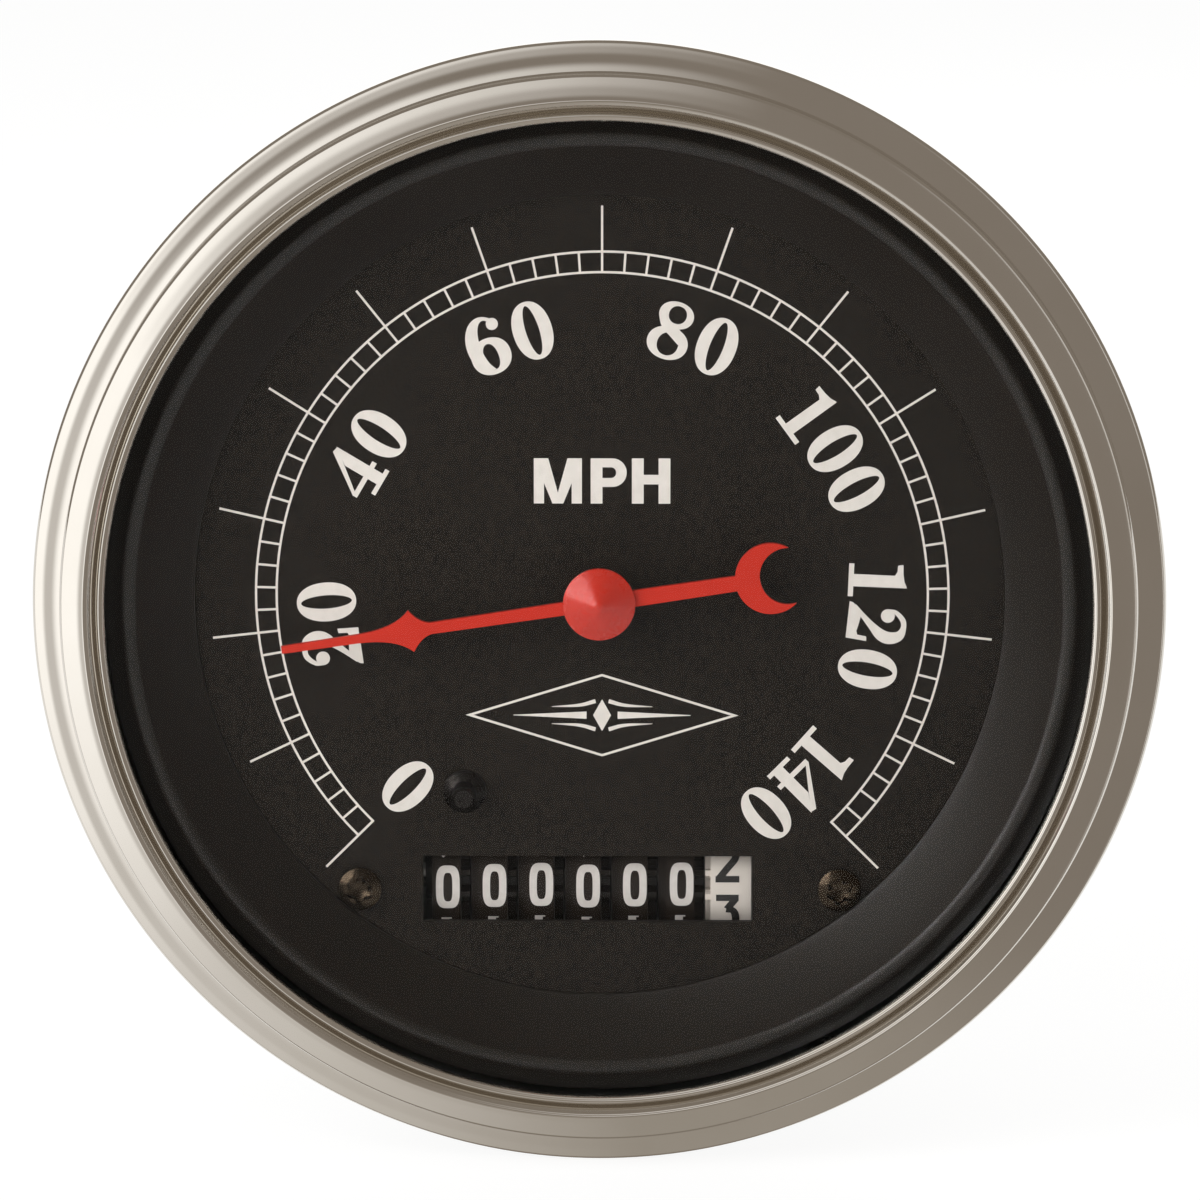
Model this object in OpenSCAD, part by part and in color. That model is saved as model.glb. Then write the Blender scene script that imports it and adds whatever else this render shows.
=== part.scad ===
// Round dashboard speedometer, driven by a turning cable, with a drag cup movement and a
// seven drum distance counter.
//
// Each piece is drawn looking straight at the dial: x to the right, y up, z towards the driver,
// with z = 0 where the bezel meets the panel. The module upright() then stands the dial up, so
// that the finished part faces -Y, with +Z up and its cable inlet at +Y.

/* [Bezel and glass] */
// Outside diameter of the polished bezel
bezel_d = 94; // [86:0.5:110]
// Width of the bezel, from its outer edge to its inner lip
bezel_w = 6.0; // [5.6:0.1:7]
// Height of the bezel's crown above the panel
crown_z = 5.4; // [5.1:0.1:7]
// Radius of the bead along the crown
crown_bead_r = 0.78; // [0.5:0.02:0.9]
// How far the glass reaches out under the bezel's lip
glass_lap = 2.2; // [1.9:0.1:2.4]
// Thickness of the flat glass
glass_t = 2.0; // [1.6:0.1:2.1]
// Thickness of the rubber ring behind the glass
gasket_t = 0.8; // [0.5:0.1:0.9]

/* [Case] */
// How far the bezel covers the panel round its hole
panel_lap = 4.7; // [4.4:0.1:5.2]
// Room between the cross wheel and the inlet's neck, which sets how deep the case is
neck_room = 1.45; // [0.7:0.05:10]
// Wall of the pressed steel case
case_wall = 0.8; // [0.6:0.1:1]
// Radius of the case's rear corner
case_corner_r = 4; // [2:0.5:6]

/* [Dial] */
// Depth of the dial's printed face behind the panel plane
dial_depth = 3.8; // [3.4:0.1:4.6]
// Thickness of the dial plate
dial_t = 0.8; // [0.5:0.1:1.2]
// Least space between a dial screw's head and the black surround
view_gap = 0.05; // [0.05:0.05:1]
// Distance from the shoulder out to the bezel's lip
shoulder_in = 2.2; // [1.8:0.1:3]
// Height of the counter's window
window_h = 5.6; // [4:0.1:7]
// Sideways place of the window's centre
window_x = -1.0; // [-1.2:0.05:-0.8]
// Distance of each dial screw outside the counter's frame
screw_reach = 3.6; // [2.8:0.1:6]
// Diameter of a dial screw's button head
dial_screw_head_d = 3.6; // [3:0.1:4.2]
// Distance of the needle's stop peg from the dial's centre
peg_orbit_r = 20.0; // [19.2:0.1:22]
// Direction of the stop peg, counter-clockwise from three o'clock
peg_deg = 235.6; // [232:0.1:240]

/* [Pointer] */
// Length from the hub to the needle's tip
needle_len = 26.7; // [25:0.1:30]
// Direction that the needle shows at rest, counter-clockwise from three o'clock
needle_rest_deg = 188.56; // [170:0.01:225]
// Thickness of the needle
needle_t = 0.5; // [0.3:0.05:0.8]
// Height of the needle's back above the dial's face
needle_lift = 2.9; // [2.6:0.1:3.2]
// Radius of the cone over the hub
cap_r = 3.0; // [2.4:0.1:3.6]
// Height of the cone over the needle
cap_h = 1.9; // [1.2:0.1:2.2]
// Distance from the hub to the middle of the tail's crescent
tail_len = 14.4; // [12:0.1:15.5]
// Outer radius of the crescent
crescent_r = 2.97; // [2.4:0.05:3.2]

/* [Movement] */
// Radius of the aluminium drag cup
cup_r = 11; // [9.5:0.1:12.5]
// Length of the drag cup's skirt
cup_len = 8.4; // [7:0.1:8.8]
// Running gap between the magnet and the drag cup
air_gap = 0.5; // [0.4:0.05:0.9]
// Diameter of the pointer's staff
staff_d = 1.2; // [0.9:0.05:1.3]
// Number of turns in the hairspring
spring_turns = 5; // [3:1:6]
// Diameter of the input shaft
input_d = 3.2; // [2.8:0.1:3.4]
// Teeth on the wheel that the input worm drives
cross_teeth = 25; // [20:1:30]
// Tooth module of the input worm and its wheel
cross_module = 0.5; // [0.45:0.01:0.52]
// Pitch radius of the input worm
input_worm_r = 3.25; // [3:0.05:3.6]
// Teeth on the wheel that the cross worm drives
counter_teeth = 50; // [40:1:50]
// Tooth module of the cross worm and its wheel
counter_module = 0.25; // [0.22:0.005:0.25]
// Pitch radius of the cross worm
cross_worm_r = 2.0; // [1.8:0.05:2.3]

/* [Distance counter] */
// Outside radius of the number drums
drum_r = 6.9; // [6.6:0.05:6.95]
// Spacing of the black drums along their shaft
drum_pitch = 3.93; // [3.85:0.01:3.95]
// Width of a black drum's printed band
band_w = 2.4; // [2:0.05:2.5]
// Width of the white drum, which counts tenths
tenths_w = 3.42; // [3:0.02:4.5]
// Space between the last black band and the white drum
tenths_gap = 1.35; // [1.2:0.05:2]
// Diameter of the shaft that the drums turn on
drum_shaft_d = 3.0; // [2.4:0.1:3.4]

/* [Rear fittings] */
// Diameter of the threaded cable ferrule
ferrule_d = 15.88; // [14:0.01:18]
// Length of the ferrule behind the case
ferrule_len = 14; // [12:0.5:20]
// Diameter of the ferrule's bore
ferrule_bore_d = 10; // [9:0.1:11]
// Size of the square socket for the cable's end
cable_square = 2.65; // [2.3:0.05:3]
// Distance of each mounting stud in from the side of the case
stud_inset = 10.55; // [9.5:0.05:20]
// Diameter of a mounting stud's free thread
stud_d = 4.0; // [3:0.1:5]
// Length of a mounting stud behind the case
stud_len = 16; // [10:1:30]
// Direction of the right lamp, counter-clockwise from three o'clock
lamp_deg = 62.65; // [58:0.05:70]
// Diameter of a lamp's glass
bulb_d = 9.8; // [8:0.1:10.4]

/* [Hidden] */
$fn = 72;

// Clearances
run_gap = 0.05;     // a shaft in its bearing
seat_gap = 0.02;    // a piece pressed on a shaft or into a hole
hole_gap = 0.1;     // a screw in its hole
clear_gap = 0.3;    // pieces that pass each other
cut = 1;            // how far a cutting shape reaches past what it cuts

cross_wheel_r = cross_teeth * cross_module / 2;
cross_x = -(input_worm_r + cross_wheel_r);

// Movement, outwards from the drag cup
flux_gap = 0.6;
flux_r = cup_r + flux_gap;
flux_t = 1.4;
rim_inner_r = flux_r + flux_t + hole_gap;
rim_outer_r = rim_inner_r + 1.5;    // raised rim of the movement's frame
plate_r = rim_outer_r + 0.9;
post_r = 1.9;
post_x = rim_outer_r + post_r + 0.5;
pillar_x = post_x + 1;
pillar_y = rim_outer_r + 1.4;

// Counter, under the movement. A carry of two teeth of the ring is a tenth of a turn, so the
// ring has to have 20 teeth, and a pinion needs an even number to lock on every second one.
carry_ring_teeth = 20;
carry_teeth = 8;
shelf_t = 1.2;
shelf_y = -rim_outer_r - 0.2 - shelf_t;     // underside of the counter frame's shelf
window_y = shelf_y - 1.9 - drum_r;
black_drums = 6;
left_margin = 0.69;                 // window's left edge to the first black band
right_margin = 0.09;                // white drum to the window's right edge
window_w = left_margin + band_w + (black_drums - 1) * drum_pitch
    + tenths_gap + tenths_w + right_margin;
first_drum_x = window_x - window_w / 2 + left_margin + band_w / 2;
tenths_x = window_x + window_w / 2 - right_margin - tenths_w / 2;
gear_w = 1.7;
gear_x = tenths_x + tenths_w / 2 + 0.19;    // left face of the tenths gear
side_x = gear_x + gear_w + 0.7;     // inner face of the counter frame's side plates
side_t = 1.2;

// Face, inwards from the bezel. The surround slopes down to just outside the dial screws.
bezel_r = bezel_d / 2;
lip_r = bezel_r - bezel_w;
shoulder_r = lip_r - shoulder_in;
dial_screw_x = side_x + side_t + screw_reach;
dial_screw_r = dial_screw_head_d / 2;
dial_view_r = ceil(10 * (norm([dial_screw_x, window_y]) + dial_screw_r + view_gap)) / 10;

// Bezel, glass and case
rim_r = 0.6;                        // round outer edge of the bezel
skin_t = 0.6;                       // turned-in edge behind the case's flange
flange_z = skin_t;
flange_top = flange_z + case_wall;
glass_back = flange_top + gasket_t;
glass_front = glass_back + glass_t;
lip_bead_r = 0.35;
lip_z = glass_front + hole_gap + lip_bead_r;
crown_r = lip_r + 1.65;
step_r = bezel_r - 2.15;            // foot of the step between flange and crown
step_z = 1.95;
glass_r = lip_r + glass_lap;
case_r = bezel_r - panel_lap;
case_inner_r = case_r - case_wall;
flange_r = bezel_r - 1.7;
bend_r = 0.6;                       // outer bend from barrel to flange

// Dial
dial_z = -dial_depth;
dial_back = dial_z - dial_t;
dial_r = case_inner_r - 0.5;
dial_hole_r = 1.6;
screw_shank_r = 1.1;
tab_t = 1.2;                        // tabs that the dial is screwed to
peg_pin_r = 1.0;
peg_base_r = 1.8;
peg_x = peg_orbit_r * cos(peg_deg);
peg_y = peg_orbit_r * sin(peg_deg);
shoulder_z = 1.7;                   // top of the surround
surround_r = dial_r;

// Pointer and its staff
needle_z = dial_z + needle_lift;
needle_top = needle_z + needle_t;
staff_r = staff_d / 2;
boss_r = 1.15;
boss_len = 1.6;                     // needle's boss on the staff, behind the needle
boss_z = needle_z - boss_len;
tip_half = 0.31;
blade_half = 0.365;
spade_half = 1.75;
spade_r = 15.8;                     // widest place of the spade
spade_front_r = 20.25;              // where the blade begins to widen into the spade
spade_back_r = 14.15;
arm_half = 0.475;
arm_root_half = 0.56;
tail_half = 0.63;
tail_root_half = 0.7;
crescent_cut_r = 2.38;
crescent_shift = 1.47;              // how far the cut circle sits beyond the outer one

// Movement, from the dial backwards
bridge_t = 1.2;
bridge_top = dial_back - 2.4;
bridge_back = bridge_top - bridge_t;
spring_w = 0.5;
spring_z = bridge_back - 1.3;       // back of the hairspring
spring_t = 0.15;
spring_step = 0.85;                 // growth in radius with each turn
collet_r = 1.3;
collet_len = 1.5;
collet_z = bridge_back - clear_gap - collet_len;
cup_t = 0.8;
cup_top = collet_z - 0.4;
cup_back = cup_top - cup_len;
magnet_r = cup_r - cup_t - air_gap;
magnet_top = cup_top - cup_t - 1.0;
magnet_back = cup_back;
pivot_depth = 1.6;                  // staff's rear pivot in the magnet's hub
staff_back = magnet_top - pivot_depth;
plate_t = 2.2;
plate_top = cup_back - 2.4;
plate_back = plate_top - plate_t;
bridge_screw_r = 0.8;
bridge_screw_hold = 3;              // how far a bridge screw goes into its post
pillar_r = 2.6;
lug_left = cross_x + 4.5;           // lug that carries the counter's frame
lug_right = gear_x + hole_gap - clear_gap;
lug_half = (lug_right - lug_left) / 2;
foot_x = (lug_right + lug_left) / 2;
foot_y = shelf_y - 2.5;
foot_r = 2.4;
lug_low = foot_y - foot_r;
screw_edge = 2.1;                   // counter frame's screws to the sides of the lug
screw_drop = 1.6;                   // and to the shelf
frame_screw_r = 1.15;
frame_screw_hold = 6;
input_r = input_d / 2;
bush_t = 1.4;
staff_bush_r = 1.8;

// Counter, from the dial backwards
drum_z = dial_back - 0.4 - drum_r;
counter_wheel_r = counter_teeth * counter_module / 2;
counter_z = drum_z - drum_r - 0.45 - counter_wheel_r - counter_module;
cross_z = counter_z - counter_wheel_r - cross_worm_r;
drive_teeth = 30;
tenths_gear_teeth = 24;
spur_module = 2 * (drum_z - counter_z) / (drive_teeth + tenths_gear_teeth);
drum_shaft_r = drum_shaft_d / 2;
carry_ring_r = drum_r - 1.4;        // pitch radius of a drum's toothed ring
carry_module = 2 * carry_ring_r / carry_ring_teeth;
carry_r = carry_teeth * carry_module / 2;
carry_y = window_y - carry_ring_r - carry_r;
carry_shaft_r = 0.8;
counter_shaft_r = 1.0;
frame_drop = 1.4;                   // front edge of the counter's frame behind the dial
cross_shaft_r = 1.0;
ring_w = 0.75;                      // width of a drum's toothed ring
ring_gap = 0.15;                    // between a toothed ring and the next drum's locking disc
lock_r = drum_r - 1.05;
carry_tooth_r = drum_r - 0.4;
carry_past_deg = 36;                // how far a drum on 0 has turned since its last carry
drive_w = gear_w - 0.2;

// Worms
input_worm_len = 5.6;
cross_worm_len = 6.0;
cross_front_y = 4.0;                // middle of the upper cross bearing
cross_rear_y = shelf_y - 1.2;       // middle of the lower cross bearing
bearing_w = 1.6;
bush_r = 1.9;

// Case's back and rear fittings
ferrule_flange_t = 2;
neck_len = 5.5;
back_inner_z = cross_z - cross_wheel_r - neck_room - neck_len - ferrule_flange_t;
back_z = back_inner_z - case_wall;
nut_t = 3;
thread_past = 0.3;                  // how far a root thread shows past its nut
ferrule_r = ferrule_d / 2;
ferrule_bore_r = ferrule_bore_d / 2;
ferrule_end = back_z - ferrule_len;
ferrule_root_r = ferrule_r + 0.56;  // larger thread through the case's back
ferrule_root_end = back_z - nut_t - thread_past;
ferrule_flange_r = ferrule_root_r + 2.5;
neck_r = 5.2;
neck_z = back_inner_z + ferrule_flange_t;
rear_bush_r = 3.2;
input_end = ferrule_end + 6;
head_r = 2.6;
nut_flats = 2 * ferrule_root_r + 5;
stud_x = case_r - stud_inset;
stud_r = stud_d / 2;
stud_root_r = stud_r + 0.5;         // larger thread through the case's back
stud_head_r = stud_root_r + 1.8;
stud_head_t = 1.4;
stud_nut_flats = 2 * stud_root_r + 3;
stud_nut_t = 2.6;
washer_t = 1;
washer_r = stud_root_r + 2.2;
stud_root_end = back_z - washer_t - stud_nut_t - thread_past;
bulb_r = bulb_d / 2;
lamp_r = bulb_r + 0.9;
lamp_orbit_r = case_inner_r - lamp_r - 3.05;
lamp_place = [lamp_orbit_r * cos(lamp_deg), lamp_orbit_r * sin(lamp_deg)];
lamp_socket_len = 8;
lamp_flange_t = 1.6;
lamp_grip_t = 4;
grip_end = back_z - lamp_flange_t - lamp_grip_t;
bulb_base_r = bulb_r - 1.2;
bulb_len = 17;

// Stands a piece that was drawn looking at the dial upright
module upright() {
    rotate([90, 0, 0]) children();
}

// A cylinder from one depth to another
module rod(r, low, high) {
    translate([0, 0, low]) cylinder(r = r, h = high - low);
}

// A ring from one depth to another
module ring(outer, inner, low, high) {
    difference() {
        rod(outer, low, high);
        rod(inner, low - cut, high + cut);
    }
}

// Turns a piece drawn along z to lie along x, with its start at the given place
module along_x(x, y, z) {
    translate([x, y, z]) rotate([0, 90, 0]) children();
}

// Turns a piece drawn along z to lie along y, with its start at the given place
module along_y(x, y, z) {
    translate([x, y, z]) rotate([-90, 0, 0]) children();
}

// A hexagonal nut blank
module hex(flats, low, high) {
    translate([0, 0, low]) cylinder(r = flats / sqrt(3), h = high - low, $fn = 6);
}

// A place at radius r in direction a
function polar(r, a) = [r * cos(a), r * sin(a)];

// Points along an arc round c
function arc(c, r, from, to, n) = [for (i = [0:n]) c + polar(r, from + (to - from) * i / n)];

// Points along a curve from a to c that leans towards b
function bend(a, b, c, n) =
    [for (i = [0:n]) let (t = i / n) a * pow(1 - t, 2) + b * 2 * t * (1 - t) + c * t * t];

function reversed(list) = [for (i = [len(list) - 1:-1:0]) list[i]];

// The same outline's other half, below the x axis and run the other way
function mirrored(list) = [for (p = reversed(list)) [p[0], -p[1]]];

// Outline of a spur gear. The turn is in teeth: 0 puts a tooth at angle 0 and 0.5 a gap.
function gear_points(teeth, module_size, turn, width = 0.4) = let (
    r = teeth * module_size / 2,
    step = 360 / teeth,
    root = r - 1.1 * module_size,
    tip = r + 0.85 * module_size
) [
    for (i = [0:teeth - 1], k = [[root, -1.5], [tip, -0.62], [tip, 0.62], [root, 1.5]])
        polar(k[0], (i + turn) * step + k[1] * width * step / 2)
];

// A spur gear along z
module gear(teeth, module_size, turn, w, width = 0.4) {
    linear_extrude(height = w) polygon(gear_points(teeth, module_size, turn, width));
}

// Height of a worm's thread over its pitch radius, in modules, at an angle from its crest
function thread_height(off) = off < 40 ? 0.8 : off < 100 ? 0.8 - 1.9 * (off - 40) / 60 : -1.1;

// A single start worm along z, whose crest faces the given angle at half its length
module worm(pitch_r, module_size, length, facing) {
    pitch = PI * module_size;
    points = 12;
    turns = length / pitch;
    start = facing - 360 * turns / 2;
    thread = [
        for (i = [0:points - 1])
            let (a = i * 360 / points, off = min(a, 360 - a))
                polar(
                    pitch_r + module_size * thread_height(off),
                    start + a
                )
    ];
    linear_extrude(
        height = length, twist = -360 * turns, slices = ceil(turns * points), segments = points
    ) polygon(thread);
}

// Polished ring that holds the glass to the case and covers the edge of the panel's hole
module bezel() {
    outside = concat(
        arc([bezel_r - rim_r, rim_r], rim_r, -90, 55, 8),
        bend(
            [bezel_r - rim_r, rim_r] + polar(rim_r, 55),
            [bezel_r - 1.0, 1.61],
            [step_r, step_z], 6
        ),
        bend([step_r - 0.1, step_z + 0.15], [step_r - 0.2, crown_z - 1.1],
            [crown_r + crown_bead_r + 0.05, crown_z - crown_bead_r - 0.1], 8),
        arc([crown_r, crown_z - crown_bead_r], crown_bead_r, 4, 178, 12),
        arc([lip_r + lip_bead_r, lip_z], lip_bead_r, 40, 270, 9)
    );
    inside = [
        [glass_r + 0.2, lip_z - lip_bead_r],
        [glass_r + 0.55, glass_back],
        [glass_r + 0.7, flange_top + run_gap],
        [bezel_r - 1.5, flange_top + run_gap],
        [bezel_r - 0.7, flange_top - 0.4],
        [bezel_r - 0.7, flange_z],
        [case_r + 1.0, flange_z],
        [case_r + 1.0, 0]
    ];
    color("#c9c4b8") upright() rotate_extrude() polygon(concat(outside, inside));
}

// Flat glass with bevelled edges
module lens() {
    bevel = 0.3;
    color([0.9, 0.95, 0.95, 0.25]) upright() rotate_extrude() polygon([
        [0, glass_back], [glass_r - bevel, glass_back], [glass_r, glass_back + bevel],
        [glass_r, glass_front - bevel], [glass_r - bevel, glass_front], [0, glass_front]
    ]);
}

// Rubber ring between the case's flange and the glass
module lens_gasket() {
    color("#1b1b1b") upright()
        ring(glass_r + 0.3, case_inner_r + 0.3, flange_top, glass_back);
}

// Pressed steel can with a turned-out front flange
module case_shell() {
    inner_corner = case_corner_r - case_wall;
    corner = [case_r - case_corner_r, back_z + case_corner_r];
    profile = concat(
        [[flange_r, flange_z]],
        arc([case_r + bend_r, 0], bend_r, 90, 180, 5),
        arc(corner, case_corner_r, 0, -90, 8),
        [[0, back_z], [0, back_inner_z]],
        arc(corner, inner_corner, -90, 0, 8),
        arc([case_inner_r + bend_r + case_wall, flange_top - bend_r - case_wall],
            bend_r + case_wall, 180, 90, 5),
        [[flange_r, flange_top]]
    );
    color("#b9b6ac") upright() difference() {
        rotate_extrude() polygon(profile);
        rod(ferrule_root_r + hole_gap, back_z - cut, back_inner_z + cut);
        for (s = [-1, 1]) {
            translate([s * lamp_place[0], lamp_place[1], 0])
                rod(lamp_r + hole_gap, back_z - cut, back_inner_z + cut);
            translate([s * stud_x, 0, 0])
                rod(stud_root_r + hole_gap, back_z - cut, back_inner_z + cut);
        }
        for (p = frame_screw_places())
            translate(p) rod(frame_screw_r + hole_gap, back_z - cut, back_inner_z + cut);
    }
}

function frame_screw_places() =
    [[-pillar_x, pillar_y, 0], [pillar_x, pillar_y, 0], [foot_x, foot_y, 0]];

// Matt black ring that slopes up from the dial to its rounded shoulder under the glass
module dial_surround() {
    wall = 1.2;
    edge_h = 0.35;
    round_r = 0.9;
    color("#211f1d") upright() rotate_extrude() polygon(concat(
        [[dial_view_r, dial_z], [dial_view_r, dial_z + edge_h]],
        bend([dial_view_r + 0.3, dial_z + edge_h + 0.25],
            [shoulder_r - 2.2, -0.9], [shoulder_r - round_r, shoulder_z - 0.55], 6),
        arc([shoulder_r + 0.2, shoulder_z - round_r], round_r, 130, 90, 4),
        [
            [surround_r, shoulder_z],
            [surround_r, dial_z],
            [surround_r - wall, dial_z],
            [surround_r - wall, shoulder_z - wall],
            [shoulder_r + 0.4, shoulder_z - wall],
            [dial_view_r + 2 * wall, dial_z]
        ]
    ));
}

// Thin aluminium dial with its window, screw holes and centre hole
module dial_plate() {
    color("#2b2724") upright() difference() {
        rod(dial_r, dial_back, dial_z);
        rod(dial_hole_r, dial_back - cut, dial_z + cut);
        translate([window_x - window_w / 2, window_y - window_h / 2, dial_back - cut])
            cube([window_w, window_h, dial_t + 2 * cut]);
        for (s = [-1, 1])
            translate([s * dial_screw_x, window_y, 0])
                rod(screw_shank_r + hole_gap, dial_back - cut, dial_z + cut);
        translate([peg_x, peg_y, 0])
            rod(peg_pin_r, dial_back - cut, dial_z + cut);
    }
}

// Two button head screws that hold the dial to the counter's frame
module dial_screws() {
    edge_h = 0.25;
    sunk = 1.2;                     // depth of the dome's centre below its edge
    head_h = 1.1;
    socket_r = 0.58 * dial_screw_r;
    dome = concat([[0, 0], [dial_screw_r, 0], [dial_screw_r, edge_h]],
        arc([0, edge_h - sunk], norm([dial_screw_r, sunk]), atan2(sunk, dial_screw_r), 64, 5),
        [[0, head_h]]);
    color("#26231f") upright() for (s = [-1, 1]) translate([s * dial_screw_x, window_y, dial_z])
        difference() {
            union() {
                rotate_extrude() polygon(dome);
                rod(screw_shank_r, -dial_t - tab_t - 1.6, 0);
            }
            translate([0, 0, 0.35]) cylinder(r = socket_r, h = 2, $fn = 6);
        }
}

// Peg that the needle rests on below zero
module stop_peg() {
    color("#1e1c1a") upright() translate([peg_x, peg_y, dial_z]) {
        rod(peg_pin_r - seat_gap, -dial_t - 0.5, 0);
        rotate_extrude() polygon([
            [0, 0], [peg_base_r, 0], [peg_base_r, 0.3], [peg_pin_r + 0.35, 0.65],
            [peg_pin_r, 0.9], [peg_pin_r, needle_lift + needle_t],
            [peg_pin_r - 0.25, needle_lift + needle_t + 0.25],
            [0, needle_lift + needle_t + 0.25]
        ]);
    }
}

// Half of the needle's outline, from the hub to the tip, drawn along x
function needle_edge() = concat(
    [[0, arm_root_half]],
    bend([spade_back_r, arm_half], [spade_r - 0.75, arm_half + 0.15], [spade_r, spade_half], 6),
    bend([spade_r, spade_half], [spade_r + 1.3, blade_half + 0.05],
        [spade_front_r, blade_half], 8),
    [[needle_len, tip_half]]
);

// Red hand with a spade in its blade and a crescent on its tail
module pointer() {
    edge = needle_edge();
    color("#be3628") upright() rotate([0, 0, needle_rest_deg]) difference() {
        union() {
            translate([0, 0, needle_z]) linear_extrude(height = needle_t)
                polygon(concat(edge, mirrored(edge)));
            translate([0, 0, needle_z]) linear_extrude(height = needle_t) polygon([
                [0, tail_root_half], [-tail_len + crescent_r - 0.3, tail_half],
                [-tail_len + crescent_r - 0.3, -tail_half], [0, -tail_root_half]
            ]);
            translate([0, 0, needle_z]) linear_extrude(height = needle_t) difference() {
                translate([-tail_len, 0]) circle(r = crescent_r);
                translate([-tail_len - crescent_shift, 0]) circle(r = crescent_cut_r);
            }
            rod(cap_r - 0.6, needle_z, needle_top);
            rod(boss_r, boss_z, needle_z);
        }
        rod(staff_r + seat_gap, boss_z - cut, needle_top + cut);
    }
}

// Cone that covers the hub
module pointer_cap() {
    rim = 0.45;
    color("#b8342a") upright() rotate_extrude() polygon([
        [0, needle_top], [cap_r, needle_top], [cap_r, needle_top + rim],
        [0.35, needle_top + cap_h - 0.08], [0, needle_top + cap_h]
    ]);
}

// Thin steel staff that carries the needle, the hairspring's collet and the drag cup
module pointer_staff() {
    color("#c8c8c4") upright() rod(staff_r, staff_back, needle_top);
}

// Aluminium cup that the spinning magnet drags round
module speed_cup() {
    boss = 2.2;
    color("#d3d3d0") upright() difference() {
        union() {
            difference() {
                rod(cup_r, cup_back, cup_top);
                rod(cup_r - cup_t, cup_back - cut, cup_top - cup_t);
            }
            rod(boss, cup_top - cup_t - 0.6, cup_top);
        }
        rod(staff_r + seat_gap, cup_back - cut, cup_top + cut);
    }
}

function spiral_edge(offset_r, n) = [
    for (i = [0:n])
        let (turn = spring_turns * i / n)
            polar(collet_r + run_gap + offset_r + spring_step * turn, 360 * turn)
];

// Flat spiral that pulls the needle back
module hairspring() {
    steps = 20 * spring_turns;
    color("#b08d4c") upright() translate([0, 0, spring_z])
        linear_extrude(height = spring_w)
            polygon(concat(spiral_edge(spring_t, steps), reversed(spiral_edge(0, steps))));
}

// Collet that holds the hairspring's inner end to the staff
module hairspring_collet() {
    color("#c9a45a") upright() ring(collet_r, staff_r + seat_gap, collet_z, collet_z + collet_len);
}

// Post under the bridge that holds the hairspring's outer end
module hairspring_stud() {
    end_r = collet_r + run_gap + spring_step * spring_turns;
    half = 0.6;
    color("#c9a45a") upright() difference() {
        translate([end_r - half, -0.1, spring_z - 0.3])
            cube([2 * half + spring_t, 1.4, bridge_back - spring_z + 0.3]);
        translate([end_r - run_gap, -cut, spring_z - run_gap])
            cube([spring_t + 2 * run_gap, cut + 0.6, spring_w + 2 * run_gap]);
    }
}

// Bar across the movement that carries the staff's front bearing
module bridge_plate() {
    end_r = 3.2;
    hub_r = 7.6;
    half = 2.6;
    color("#c2b07a") upright() translate([0, 0, bridge_back])
        linear_extrude(height = bridge_t) difference() {
            union() {
                circle(r = hub_r);
                translate([-post_x, -half]) square([2 * post_x, 2 * half]);
                for (s = [-1, 1]) translate([s * post_x, 0]) circle(r = end_r);
            }
            circle(r = staff_bush_r + seat_gap);
            for (s = [-1, 1]) translate([s * post_x, 0]) circle(r = bridge_screw_r + hole_gap);
        }
}

// A slotted screw with its head above z = 0
module cheese_screw(head_r, head_h, shank_r, shank_len) {
    slot = 0.5;
    difference() {
        union() {
            rod(head_r, 0, head_h);
            rod(shank_r, -shank_len, 0);
        }
        translate([-head_r - cut, -slot / 2, head_h * 0.55]) cube([2 * (head_r + cut), slot, head_h]);
    }
}

// Two screws that hold the bridge to its posts
module bridge_screws() {
    color("#9a9a96") upright() for (s = [-1, 1]) translate([s * post_x, 0, bridge_top])
        cheese_screw(2.1 * bridge_screw_r, 1.4 * bridge_screw_r, bridge_screw_r,
            bridge_t + bridge_screw_hold);
}

// Bearing of the staff in the bridge
module staff_bush() {
    color("#d1a954") upright() ring(staff_bush_r, staff_r + run_gap, bridge_back, bridge_top + 0.4);
}

// Soft iron ring round the drag cup that closes the magnet's field
module flux_ring() {
    color("#6f706e") upright() ring(flux_r + flux_t, flux_r, plate_top, magnet_top);
}

// Magnet on the end of the input shaft
module magnet() {
    slots = 6;
    color("#4c4e50") upright() difference() {
        rod(magnet_r, magnet_back, magnet_top);
        rod(input_r + seat_gap, magnet_back - cut, staff_back - 0.3);
        rod(staff_r + run_gap, staff_back - cut, magnet_top + cut);
        for (i = [0:slots - 1]) rotate([0, 0, i * 360 / slots])
            translate([magnet_r - 1.2, -0.8, magnet_back - cut])
                cube([2.4, 1.6, magnet_top - magnet_back + 2 * cut]);
    }
}

// Shaft from the cable's square end to the magnet
module input_shaft() {
    socket_depth = 6;
    color("#b7b7b4") upright() difference() {
        union() {
            rod(input_r, neck_z - 0.6, staff_back - 0.3);
            rod(head_r, input_end, neck_z - 0.2);
        }
        translate([-cable_square / 2, -cable_square / 2, input_end - cut])
            cube([cable_square, cable_square, socket_depth + cut]);
    }
}

// Worm on the input shaft
module input_worm() {
    color("#a9a9a5") upright() difference() {
        translate([0, 0, cross_z - input_worm_len / 2])
            worm(input_worm_r, cross_module, input_worm_len, 180);
        rod(input_r + seat_gap, cross_z - input_worm_len, cross_z + input_worm_len);
    }
}

// Bearing of the input shaft in the movement's frame
module front_bush() {
    bush_len = plate_t + 2;
    color("#b98f45") upright()
        ring(input_r + bush_t, input_r + run_gap, plate_top - bush_len, plate_top);
}

// Bearing of the input shaft in the ferrule's neck
module rear_bush() {
    color("#b98f45") upright()
        ring(rear_bush_r, input_r + run_gap, neck_z, neck_z + neck_len);
}

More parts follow.
